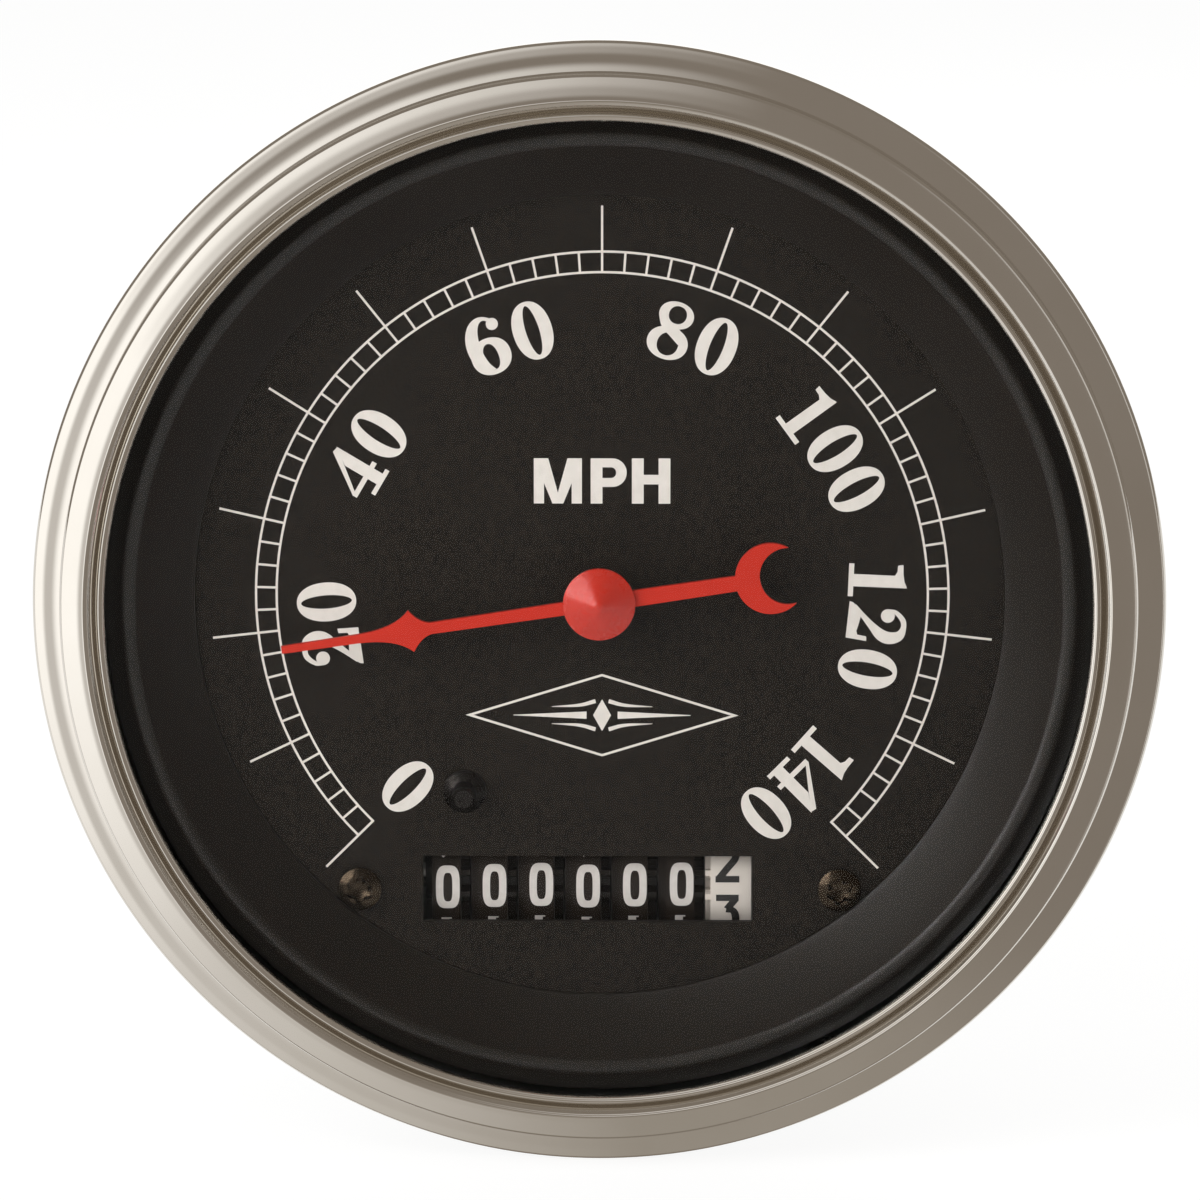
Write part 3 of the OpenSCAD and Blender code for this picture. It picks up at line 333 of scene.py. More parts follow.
def per_metre(millimetres: float) -> float:
    """Texture scale that gives features about this many millimetres across."""
    return 1 / (millimetres * MM)


def put(tree: Tree, kind: str, given: dict | None = None) -> Node:
    """Adds a node with its settings and links.

    Args:
        tree: The material's node tree.
        kind: Node type without its "ShaderNode" prefix.
        given: Properties and inputs, by name or by number. An output, or a node for its first output,
            is linked, and any other value is set.

    Returns:
        The new node.
    """
    made = tree.nodes.new("ShaderNode" + kind)
    for key, value in (given or {}).items():
        if isinstance(value, Node):
            value = value.outputs[0]
        if isinstance(value, Socket):
            tree.links.new(value, made.inputs[key])
        elif isinstance(key, str) and hasattr(made, key):
            setattr(made, key, value)
        else:
            made.inputs[key].default_value = value
    return made


@dataclass(frozen=True)
class Coating:
    """What a piece is dressed in: a named material that is made once."""

    name: str

    def shader(self, tree: Tree) -> Node:
        """Nodes of the surface, up to the one that the material shows."""
        raise NotImplementedError

    def material(self) -> bpy.types.Material:
        """The material of this name, made when it is first asked for.

        Returns:
            The material.
        """
        made = bpy.data.materials.get(self.name)
        if made is None:
            made = bpy.data.materials.new(self.name)
            made.use_nodes = True
            tree = made.node_tree
            tree.nodes.clear()
            put(tree, "OutputMaterial", {"Surface": self.shader(tree)})
        return made

    def dress(self, piece: Piece) -> None:
        """Gives the piece this material alone."""
        piece.data.materials.clear()
        piece.data.materials.append(self.material())


@dataclass(frozen=True)
class Finish(Coating):
    """A surface finish: two colours mixed by a mottle, uneven gloss and a fine relief.

    Subclasses draw the relief that their way of making leaves.
    """

    colour: str
    shade: str
    roughness: float
    gloss_spread: float = 0.06
    metallic: float = 0.0
    mottle_mm: float = 6.0
    mottle: float = 0.35
    grain_mm: float = 0.5
    relief_mm: float = 0.01
    ior: float = 1.45

    def relief(self, tree: Tree, place: Socket) -> Node:
        """Height pattern from 0 to 1: even noise, as a moulded or painted skin has."""
        return put(tree, "TexNoise", {"Scale": per_metre(self.grain_mm), "Detail": 3.0,
                                      "Vector": place})

    def shader(self, tree: Tree) -> Node:
        """Colour and gloss that follow one soft mottle, over the relief.

        Args:
            tree: The material's node tree.

        Returns:
            The shader.
        """
        place = put(tree, "TexCoord").outputs["Object"]
        cloud = put(tree, "TexNoise", {"Scale": per_metre(self.mottle_mm), "Detail": 4.0,
                                       "Roughness": 0.6, "Vector": place})
        middle = {"Value": cloud, "From Min": NOISE_LOW, "From Max": NOISE_HIGH}
        share = put(tree, "MapRange", middle | {"To Max": self.mottle})
        tint = put(tree, "Mix", {"data_type": "RGBA", 0: share, 6: linear(self.colour),
                                 7: linear(self.shade)}).outputs[2]
        gloss = put(tree, "MapRange", middle | {
            "To Min": max(self.roughness - self.gloss_spread, 0.02),
            "To Max": self.roughness + self.gloss_spread})
        bump = put(tree, "Bump", {"Strength": 1.0, "Distance": self.relief_mm * MM,
                                  "Height": self.relief(tree, place)})
        return put(tree, "BsdfPrincipled", {
            "Metallic": self.metallic, "IOR": self.ior if self.metallic < 0.5 else METAL_IOR,
            "Base Color": tint, "Roughness": gloss, "Normal": bump})


@dataclass(frozen=True)
class Turned(Finish):
    """Metal cut or buffed on a lathe: fine rings about an axis that runs front to back."""

    ring_mm: float = 0.12

    def relief(self, tree: Tree, place: Socket) -> Node:
        """Noise read along the radius and the depth only, so that it makes rings."""
        x, depth, z = put(tree, "SeparateXYZ", {0: place}).outputs
        flat = put(tree, "CombineXYZ", {0: x, 1: z})
        radius = put(tree, "VectorMath", {"operation": "LENGTH", 0: flat}).outputs["Value"]
        rings = put(tree, "CombineXYZ", {0: radius, 1: depth})
        return put(tree, "TexNoise", {"Scale": per_metre(self.ring_mm), "Detail": 2.0, "Vector": rings})


@dataclass(frozen=True)
class Plated(Finish):
    """Plated or rolled sheet metal: faint scratches drawn out one way over a soft grain."""

    stretch: Triple = (0.12, 1.0, 1.0)

    def relief(self, tree: Tree, place: Socket) -> Node:
        """Noise squeezed along one axis, so that it makes short streaks."""
        drawn = put(tree, "Mapping", {"Scale": self.stretch, "Vector": place})
        return put(tree, "TexNoise", {"Scale": per_metre(self.grain_mm), "Detail": 4.0,
                                      "Vector": drawn})


@dataclass(frozen=True)
class Cast(Finish):
    """Die-cast metal: a pebbled skin of small round cells, slightly pitted."""

    def relief(self, tree: Tree, place: Socket) -> Node:
        """Distance to scattered points, softened with noise."""
        cells = put(tree, "TexVoronoi", {"feature": "SMOOTH_F1", "Scale": per_metre(self.grain_mm),
                                         "Vector": place})
        fine = put(tree, "TexNoise", {"Scale": per_metre(self.grain_mm / 3), "Vector": place})
        return put(tree, "Math", {"operation": "MULTIPLY", 0: cells, 1: fine})


@dataclass(frozen=True)
class ClearGlass(Coating):
    """Polished glass. Lamp rays pass straight through it, so that what lies behind is lit."""

    tint: str
    roughness: float
    ior: float = 1.5
    haze_mm: float = 18.0

    def shader(self, tree: Tree) -> Node:
        """Clear glass with a faint haze that comes and goes.

        Args:
            tree: The material's node tree.

        Returns:
            The shader.
        """
        place = put(tree, "TexCoord").outputs["Object"]
        haze = put(tree, "TexNoise", {"Scale": per_metre(self.haze_mm), "Detail": 5.0, "Vector": place})
        rough = put(tree, "MapRange", {"Value": haze, "From Min": 0.35, "From Max": 0.75,
                                       "To Max": self.roughness})
        glass = put(tree, "BsdfPrincipled", {"Base Color": linear(self.tint), "IOR": self.ior,
                                             "Transmission Weight": 1.0, "Roughness": rough})
        clear = put(tree, "BsdfTransparent", {"Color": linear(self.tint)})
        rays = put(tree, "LightPath").outputs
        through = put(tree, "Math", {"operation": "MAXIMUM", 0: rays["Is Shadow Ray"],
                                     1: rays["Is Diffuse Ray"]})
        return put(tree, "MixShader", {0: through, 1: glass, 2: clear})


@dataclass(frozen=True)
class PaintedFloor(Coating):
    """Matt white paint that glows a little where it is seen or mirrored, and still takes shadows."""

    tint: str
    glow: float
    share: float

    def shader(self, tree: Tree) -> Node:
        """Matt white, mixed with its glow for rays from the camera, from glass and from metal.

        Args:
            tree: The material's node tree.

        Returns:
            The shader.
        """
        rays = put(tree, "LightPath").outputs
        seen = rays["Is Camera Ray"]
        for other in ("Is Glossy Ray", "Is Transmission Ray"):
            seen = put(tree, "Math", {"operation": "MAXIMUM", 0: seen, 1: rays[other]})
        share = put(tree, "Math", {"operation": "MULTIPLY", 0: seen, 1: self.share})
        matt = put(tree, "BsdfDiffuse", {"Color": linear(self.tint)})
        glow = put(tree, "Emission", {"Strength": self.glow})
        return put(tree, "MixShader", {0: share, 1: matt, 2: glow})


# Stainless steel, spun and then buffed: a bright mirror with the faintest rings left by the mop.
BEZEL_STEEL = Turned("buffed stainless steel", "#d8d3cb", "#cdc7bd", 0.09, 0.02, 1.0, 14.0, 0.5,
                     relief_mm=0.0004, ring_mm=0.3)
# Float glass with an anti-glare coat, whose low index keeps reflections off the black dial.
LENS_GLASS = ClearGlass("coated float glass", "#ffffff", 0.02, 1.14)
# Drawn lamp glass, faintly warm where it is thick.
LAMP_GLASS = ClearGlass("drawn lamp glass", "#fff6e2", 0.05)
# Sprayed enamel with a matting agent: deep black that breaks up into a fine even grain.
DIAL_PAINT = Finish("sprayed matt black enamel", "#261f18", "#050403", 0.62, 0.04, 0.0, 0.3, 1.0,
                    0.3, 0.03, 1.25)
# Black primer on the surround: flatter than the dial, with a softer and finer tooth.
SURROUND_PAINT = Finish("sprayed black primer", "#1e170f", "#0b0907", 0.42, 0.04, 0.0, 0.3, 1.0,
                        0.35, 0.012, 1.4)
# Screen-printed ink: a warm white film, a little thin where the mesh lifted.
PRINT_INK = Finish("screen-printed white ink", "#ece5dd", "#ddd6cd", 0.6, 0.05, 0.0, 0.9, 0.6,
                   0.15, 0.004)
# Pad-printed inks on the drums: smoother than the dial's, slightly greyed by wear.
DRUM_INK = Finish("pad-printed white ink", "#dcd6d0", "#cbc4bd", 0.45, 0.05, 0.0, 0.6, 0.6, 0.15, 0.003)
DRUM_BLACK_INK = Finish("pad-printed black ink", "#1c1a18", "#262321", 0.5, 0.05, 0.0, 0.6, 0.5,
                        0.15, 0.003)
# Lacquered aluminium hand: an even satin red with a slight orange-peel skin.
HAND_LACQUER = Finish("satin red lacquer", "#c62a16", "#b52312", 0.4, 0.05, 0.0, 2.0, 0.4, 0.35,
                      0.005, 1.35)
# Moulded ABS cone: glossier than the hand, with the fine lines of its turned mould.
CONE_ABS = Turned("moulded red ABS", "#c42813", "#b1210e", 0.28, 0.05, 0.0, 1.5, 0.4,
                  relief_mm=0.004, ior=1.5, ring_mm=0.3)

# Black oxide on cold-headed screws, oiled: a brown metal shine where light grazes it.
SCREW_OXIDE = Plated("oiled black oxide screws", "#3c3329", "#2a241d", 0.24, 0.05, 1.0, 0.8, 0.6, 0.25,
                     0.004)
# Zinc on turned steel, for the inlet, the studs and the nuts: brighter than the case's sheet.
INLET_ZINC = Turned("zinc-plated turned steel", "#c9c8c4", "#aeaca6", 0.3, 0.07, 1.0, 4.0, 0.6,
                    relief_mm=0.003)
STUD_ZINC = Plated("zinc-plated rolled thread", "#c6c6c3", "#a9a7a1", 0.3, 0.07, 1.0, 3.0, 0.6, 0.25,
                   0.003, stretch=(1.0, 0.2, 1.0))
NUT_ZINC = Plated("zinc-plated cold-headed steel", "#cbc8bd", "#b0aa99", 0.3, 0.08, 1.0, 3.0, 0.6, 0.3,
                  0.004)

# Finish of each CAD node's slot in the record.
SLOT_FINISHES: dict[str, Coating] = {
    "polished_steel": BEZEL_STEEL,
    "clear_glass": LENS_GLASS,
    # Moulded nitrile: dull and slightly chalky.
    "black_rubber": Finish("moulded nitrile rubber", "#1b1a19", "#262423", 0.75, 0.06, grain_mm=0.4),
    # Bright zinc over rolled sheet: silvery, cloudy, with short drawing lines.
    "plated_steel": Plated("zinc-plated rolled steel", "#c3c4c2", "#a3a29c", 0.34, 0.1, 1.0, 7.0, 0.6,
                           0.3, 0.0025),
    "black_surround": SURROUND_PAINT,
    "dial_black": DIAL_PAINT,
    # Black oxide on turned steel: near black with a brownish metal shine at grazing light.
    "blackened_steel": Plated("black oxide steel", "#1f1b18", "#141210", 0.3, 0.08, 0.8, 0.8, 0.6,
                              0.25, 0.004),
    "pointer_red": HAND_LACQUER,
    "cap_red": CONE_ABS,
    # Free-cutting steel from the lathe: grey, with close tool marks.
    "turned_steel": Turned("turned free-cutting steel", "#b9b7b2", "#9d9a93", 0.28, 0.06, 1.0, 3.0,
                           0.5, relief_mm=0.003),
    # Spun aluminium: paler than steel and softly ringed.
    "drag_aluminium": Turned("spun aluminium", "#cfcfce", "#b7b6b3", 0.36, 0.06, 1.0, 4.0, 0.5,
                             relief_mm=0.004),
    # Rolled phosphor bronze strip: reddish, bright on its flats.
    "spring_bronze": Plated("rolled phosphor bronze", "#b98554", "#94663d", 0.3, 0.06, 1.0, 2.0, 0.5,
                            0.2, 0.002),
    # Turned brass: yellow, with close rings and a little tarnish.
    "turned_brass": Turned("turned brass", "#c9a35a", "#a98344", 0.28, 0.06, 1.0, 4.0, 0.5,
                           relief_mm=0.003),
    # Cast magnet alloy: dark and pebbled, left as it came from the mould.
    "magnet_iron": Cast("cast magnet alloy", "#5b5854", "#46423e", 0.5, 0.08, 1.0, 4.0, 0.5, 0.6, 0.02),
    # Soft iron, turned and greyed by annealing.
    "flux_iron": Turned("annealed soft iron", "#8d8983", "#6f6a64", 0.4, 0.08, 1.0, 4.0, 0.5,
                        relief_mm=0.004),
    # Zinc die casting: pale grey with a fine pebble from the die.
    "die_cast": Cast("zinc die casting", "#9b9b99", "#83827f", 0.46, 0.08, 1.0, 5.0, 0.5, 0.5, 0.015),
    # Moulded acetal, natural: milky with a soft gloss.
    "white_plastic": Finish("moulded natural acetal", "#e2d9cf", "#d4cabf", 0.45, 0.06, 0.0, 2.5, 0.5,
                            0.3, 0.006),
    # Moulded acetal, black: a soft gloss that greys where light grazes it.
    "black_plastic": Finish("moulded black acetal", "#1c150f", "#241b15", 0.38, 0.06, 0.0, 1.2, 0.5,
                            0.25, 0.006, 1.27),
    # Phenolic moulding: brown-black, slightly mottled by its filler.
    "holder_plastic": Finish("moulded phenolic", "#272422", "#3a3430", 0.4, 0.08, 0.0, 1.5, 0.5,
                             0.4, 0.01),
    "lamp_glass": LAMP_GLASS,
}


# Sub-assemblies


def settle(name: str, surface: Surface, body: Body, finish: Coating, slot: Slot | None = None,
           stands_for: str | None = None, sharp_deg: float = 35.0) -> None:
    """Makes and dresses a piece, lets it ride on its body and hides the node it stands for.

    Args:
        name: Name of the new piece.
        surface: Its shape.
        body: CAD body that carries it.
        finish: Its finish.
        slot: The record's material slot, if it has one. Not used.
        stands_for: CAD node that it replaces.
        sharp_deg: Angle between two faces above which their edge stays sharp.
    """
    piece = make_piece(name, surface, sharp_deg)
    finish.dress(piece)
    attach(piece, body.value)
    if stands_for is not None:
        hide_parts(stands_for)
    log.info("%s: %d faces on %s", piece.name, len(piece.data.polygons), body.value)


@dataclass
class BezelRing:
    """Spun steel ring: shelf, wall, slope up to the rolled crown, groove and inner lip."""

    outer_r: float = 47.0
    rim: Pair = (0.5, 0.68)
    rim_z: float = 0.4
    shelf_pull: Pair = (45.85, 1.629)
    wall_r: float = 44.58
    step_z: float = 1.97
    fillet_r: float = 0.6
    fillet_z: float = 3.85
    slope_pull: Pair = (43.25, 5.083)
    crown_r: float = 42.42
    crown_z: float = 5.4
    crown_bead_r: float = 0.4
    groove_r: float = 41.46
    groove_z: float = 4.46
    lip_mid_r: float = 41.18
    lip_r: float = 40.7
    lip_z: float = 5.0
    glass_r: float = 43.2
    glass_z: float = 4.3                # just clear of the glass
    barrel_r: float = 43.3              # back edge, turned in round the case
    fold_in: float = 1.2
    fold_z: float = 0.6
    segments: int = 288

    def profile(self) -> np.ndarray:
        """Radius and height round the ring's section, from the rim inwards and back behind."""
        rim = arc((self.outer_r - self.rim[0], self.rim_z), self.rim, -36, 54, 18)
        shelf = bow(rim[-1], self.shelf_pull, (self.wall_r, self.step_z), 12)
        fillet = arc((self.wall_r - self.fillet_r - 0.05, self.fillet_z), self.fillet_r, 4, 52, 12)
        bead = arc((self.crown_r, self.crown_z - self.crown_bead_r), self.crown_bead_r, 66, 142, 16)
        slope = bow(fillet[-1], self.slope_pull, bead[0], 12)[1:-1]
        groove = [(self.groove_r + 0.03, self.groove_z + 0.02), (self.groove_r - 0.02, self.groove_z)]
        lip = np.vstack([arc((self.lip_mid_r, self.lip_z - 0.3), (0.24, 0.3), 10, 88, 8),
                         arc((self.lip_mid_r, self.lip_z - 0.6), (self.lip_mid_r - self.lip_r, 0.6),
                             93, 182, 14), [[self.lip_r + 0.12, self.glass_z]]])
        fold_r = self.outer_r - self.fold_in
        back = [(self.glass_r + 0.2, self.glass_z), (self.glass_r + 0.55, 2.2),
                (self.glass_r + 0.7, 1.45), (self.outer_r - 1.9, 1.4), (fold_r, 0.9),
                (fold_r, self.fold_z), (self.barrel_r, self.fold_z), (self.barrel_r, 0.0)]
        return np.vstack([rim, shelf, fillet, slope, bead, groove, lip, back])

    def build(self) -> None:
        """Makes the ring in place of the CAD bezel."""
        settle("bezel_ring", lathe(self.profile(), self.segments), Body.HOUSING, BEZEL_STEEL,
               Slot.POLISHED, "bezel", 24.0)


@dataclass
class SurroundRing:
    """Black ring round the dial: a hollow slope up to a rolled shoulder that falls away outside."""

    inner_r: float = 33.8
    foot_z: float = -3.8
    edge_h: float = 0.35
    slope_pull: Pair = (36.55, -0.78)
    shoulder: Pair = (39.1, 0.65)
    shoulder_bend_r: float = 1.05
    outer_r: float = 41.0
    outer_z: float = 0.46
    wall: float = 1.2
    segments: int = 240

    def build(self) -> None:
        """Makes the ring in place of the CAD one."""
        crest = arc(self.shoulder, self.shoulder_bend_r, 146, 55, 20)
        edge_z = self.foot_z + self.edge_h
        slope = bow((self.inner_r + 0.3, edge_z + 0.25), self.slope_pull, crest[0], 18)[:-1]
        inside = self.outer_r - self.wall
        rest = np.array([[self.outer_r - 0.05, self.outer_z], [self.outer_r, self.outer_z - 0.05],
                         [self.outer_r, self.foot_z], [inside, self.foot_z], [inside, 0.5],
                         [self.shoulder[0] + 0.3, 0.5], [self.inner_r + 2 * self.wall, self.foot_z]])
        profile = np.vstack([[(self.inner_r, self.foot_z), (self.inner_r, edge_z)], slope, crest, rest])
        settle("surround_ring", lathe(profile, self.segments), Body.HOUSING, SURROUND_PAINT,
               Slot.SURROUND, "dial_surround", 28.0)


class Ink:
    """Glyph outlines as pairs of edges, each about its own middle, one unit to a millimetre."""

    Stroke = tuple[np.ndarray, np.ndarray, bool]
    Oval = tuple[float, float, float, float]

    @staticmethod
    def oval(x: float, y: float, half_w: float, half_h: float, power: float, count: int) -> np.ndarray:
        """Points of |x / a|^power + |y / b|^power = 1: round at 2, squarer above, a lozenge at 1."""
        c, s = np.cos(turns(count)), np.sin(turns(count))
        unit = np.column_stack([np.sign(c) * np.abs(c) ** (2 / power),
                                np.sign(s) * np.abs(s) ** (2 / power)])
        return unit * (half_w, half_h) + (x, y)

    @classmethod
    def ring(cls, outer: Oval, inner: Oval, count: int = 64, power: float = 2.15,
             inner_power: float | None = None) -> "Ink.Stroke":
        """Closed stroke between two ovals, each given as x, y, half width and half height."""
        return (cls.oval(*outer, power, count), cls.oval(*inner, inner_power or power, count), True)

    @classmethod
    def dot(cls, x: float, y: float, radius: float) -> "Ink.Stroke":
        """Round dot, as a ring whose hole has closed."""
        return cls.ring((x, y, radius, radius), (x, y, 0.01, 0.01), 32, 2.0)

    @staticmethod
    def pen(knots: Points, count: int = 40, closed: bool = False) -> "Ink.Stroke":
        """Smooth stroke through knots of x, y and width."""
        run = spline(knots, count, closed)
        left, right = edges_of(run[:, :2], run[:, 2], closed)
        return left, right, closed

    @staticmethod
    def bar(start: Sequence[float], end: Sequence[float], width: float) -> "Ink.Stroke":
        """Straight stroke of even width."""
        left, right = edges_of(np.array([start, end], float), width, False)
        return left, right, False

    @staticmethod
    def blade(left: Points, right: Points) -> "Ink.Stroke":
        """Stroke between two drawn edges."""
        return np.array(left, float), np.array(right, float), False

    @classmethod
    def serif(cls, digit: str) -> list["Ink.Stroke"]:
        """Bold upright figures with thick stems and thin joins, 4.9 mm tall, for the dial.

        Args:
            digit: One of 0, 1, 2, 4, 6 and 8.

        Returns:
            Its strokes.
        """
        foot = -2.4
        if digit == "0":
            return [cls.ring((0, 0, 1.62, 2.45), (0, 0, 0.56, 2.1), 64, 2.15, 1.9)]
        if digit == "1":
            return [cls.blade([(-0.45, foot), (-0.45, 1.5)], [(0.58, foot), (0.56, 2.4)]),
                    cls.blade([(-1.38, 2.06), (-0.6, 2.1), (0.0, 2.2), (0.56, 2.45)],
                              [(-1.3, 1.62), (-0.8, 1.6), (-0.44, 1.4), (0.5, 1.2)]),
                    cls.bar((-1.32, foot + 0.21), (1.42, foot + 0.21), 0.42)]
        if digit == "2":
            return [cls.dot(-0.78, 0.86, 0.57),
                    cls.pen([(-1.2, 0.95, 0.3), (-1.12, 1.5, 0.34), (-0.55, 2.12, 0.44),
                             (0.1, 2.24, 0.46), (0.78, 1.95, 0.8), (1.05, 1.2, 1.0),
                             (0.85, 0.45, 0.95), (0.2, -0.35, 0.62), (-0.55, -1.15, 0.42),
                             (-1.35, -2.0, 0.36)], 56),
                    cls.blade([(-1.6, -2.1), (-1.05, -1.55), (-0.5, -1.36), (0.1, -1.44),
                               (0.75, -1.58), (1.2, -1.4)],
                              [(-1.66, foot), (-1.05, foot), (-0.5, foot), (0.1, foot),
                               (0.75, foot), (1.36, foot)]),
                    cls.blade([(1.12, -0.72), (1.0, -1.9)], [(1.5, -0.68), (1.38, foot)])]
        if digit == "4":
            return [cls.blade([(-2.06, -0.86), (0.3, 2.42)], [(-1.64, -0.76), (0.8, 2.3)]),
                    cls.blade([(-0.22, foot + 0.1), (-0.2, 1.0)], [(0.78, foot + 0.1), (0.82, 2.4)]),
                    cls.bar((-2.02, -0.98), (1.26, -0.98), 0.42),
                    cls.bar((-1.1, foot + 0.19), (1.25, foot + 0.19), 0.38)]
        if digit == "6":
            sweep, hook = np.linspace(38, 250, 48), np.linspace(66, 250, 48)
            outer, inner = np.radians(sweep), np.radians(hook)
            return [(np.column_stack([1.72 * np.cos(outer) - 0.12, 2.45 * np.sin(outer) + 0.03]),
                     np.column_stack([0.88 * np.cos(inner) + 0.18, 2.1 * np.sin(inner)]), False),
                    cls.ring((-0.14, -0.89, 1.66, 1.53), (-0.14, -0.94, 0.6, 1.1)),
                    cls.dot(0.86, 1.58, 0.5)]
        return [cls.ring((0.02, 1.33, 1.45, 1.12), (0.12, 1.38, 0.74, 0.74), 64, 2.1),
                cls.ring((-0.03, -1.07, 1.7, 1.36), (0.02, -1.14, 0.88, 0.95), 64, 2.1),
                cls.pen([(-1.1, 0.95, 0.5), (-0.55, 0.4, 0.85), (0.25, -0.05, 0.95),
                         (1.05, -0.7, 0.7)], 24)]

    @classmethod
    def plain(cls, digit: int) -> list["Ink.Stroke"]:
        """Rounded one-width figures, 3.8 mm tall, as pad-printed on the counter's drums.

        Args:
            digit: 0 to 9.

        Returns:
            Its strokes.
        """
        w, a, b, tall = 0.62, 0.7, 1.55, 1.86
        pens: dict[int, list[list[Pair]]] = {
            2: [[(-a, 1.0), (-0.5, 1.5), (0, b), (0.5, 1.5), (a, 1.0), (0.62, 0.35), (0, -0.5),
                 (-a, -b + 0.05)]],
            3: [[(0.72, 1.5), (0.35, 0.95), (-0.02, 0.4)],
                [(-0.1, 0.34), (0.5, 0.2), (a, -0.6), (0.55, -1.42), (0, -b), (-0.5, -1.5),
                 (-a, -1.0)]],
            4: [[(0.15, 1.75), (-0.35, 0.5), (-0.9, -0.75)]],
            5: [[(-0.7, 0.2), (-0.3, 0.48), (0.15, 0.45), (0.65, 0.1), (a, -0.6), (0.5, -1.4),
                 (0, -b), (-0.5, -1.5), (-a, -1.05)]],
            6: [[(0.6, 1.6), (0.0, 0.95), (-0.55, 0.1), (-a, -0.6)]],
            7: [[(0.72, 1.45), (0.2, 0.2), (-0.25, -tall)]],
            9: [[(-0.6, -1.6), (0.0, -0.95), (0.55, -0.1), (a, 0.6)]],
        }
        bars: dict[int, list[tuple[Pair, Pair]]] = {
            1: [((0.0, -tall), (0.0, b)), ((-0.56, b - w / 2), (0.1, b - w / 2))],
            2: [((-1.0, -b), (1.0, -b))],
            3: [((-0.95, b), (0.95, b))],
            4: [((-1.0, -0.9), (1.05, -0.9)), ((0.5, -tall), (0.5, 0.4))],
            5: [((-0.68, 0.1), (-0.68, tall)), ((-0.94, b), (0.88, b))],
            7: [((-0.98, b), (0.98, b))],
        }
        rings: dict[int, list[Ink.Oval]] = {
            0: [(0, 0, 1.0, tall)],
            6: [(0, -0.76, 1.0, 1.1)],
            8: [(0, 0.91, 0.92, 0.95), (0, -0.81, 1.0, 1.05)],
            9: [(0, 0.76, 1.0, 1.1)],
        }
        drawn = [cls.pen([(x, y, w) for x, y in knots], 30) for knots in pens.get(digit, [])]
        drawn += [cls.bar(p, q, w) for p, q in bars.get(digit, [])]
        drawn += [cls.ring((x, y, hw, hh), (x, y, hw - w, hh - w), 48, 3.3)
                  for x, y, hw, hh in rings.get(digit, [])]
        return drawn

    @classmethod
    def capital(cls, letter: str) -> list["Ink.Stroke"]:
        """Bold plain capitals, 3.8 mm tall with 0.95 mm stems, for the unit on the dial.

        Args:
            letter: M, P or H.

        Returns:
            Its strokes, about the letter's middle.
        """
        top, foot, stem = 1.9, -1.9, 0.98
        if letter == "M":
            half = 2.0
            left, right = half - 0.85, half
            return [cls.blade([(-right, foot), (-right, top)], [(-left, foot), (-left, top)]),
                    cls.blade([(left, foot), (left, top)], [(right, foot), (right, top)]),
                    cls.blade([(-half, top), (-0.45, foot)], [(-half + 1.2, top), (0.1, foot + 0.55)]),
                    cls.blade([(half - 1.2, top), (-0.1, foot + 0.55)], [(half, top), (0.45, foot)]),
                    cls.blade([(-0.45, foot), (-0.1, foot + 0.6)], [(0.45, foot), (0.1, foot + 0.6)])]
        if letter == "P":
            outer = np.vstack([[(-1.5, top)], arc((0.3, 0.7), (1.2, 1.2), 90, -90, 24), [(-1.5, -0.5)]])
            inner = np.vstack([[(-1.5, top - 0.75)], arc((0.2, 0.7), (0.42, 0.45), 90, -90, 24),
                               [(-1.5, 0.25)]])
            middle = -1.5 + stem / 2
            return [(outer, inner, False), cls.bar((middle, foot), (middle, top), stem)]
        half = 1.6
        return [cls.bar((-half + stem / 2, foot), (-half + stem / 2, top), stem),
                cls.bar((half - stem / 2, foot), (half - stem / 2, top), stem),
                cls.bar((-half, 0.12), (half, 0.12), 0.8)]

    @staticmethod
    def solid(strokes: Sequence["Ink.Stroke"], thickness: float) -> Surface:
        """Strokes as thin ink, each a hair higher than the last so that no two tops coincide."""
        return Surface.joined([slab(left, right, INK_SUNK, thickness + INK_STEP * i, closed)
                               for i, (left, right, closed) in enumerate(strokes)])


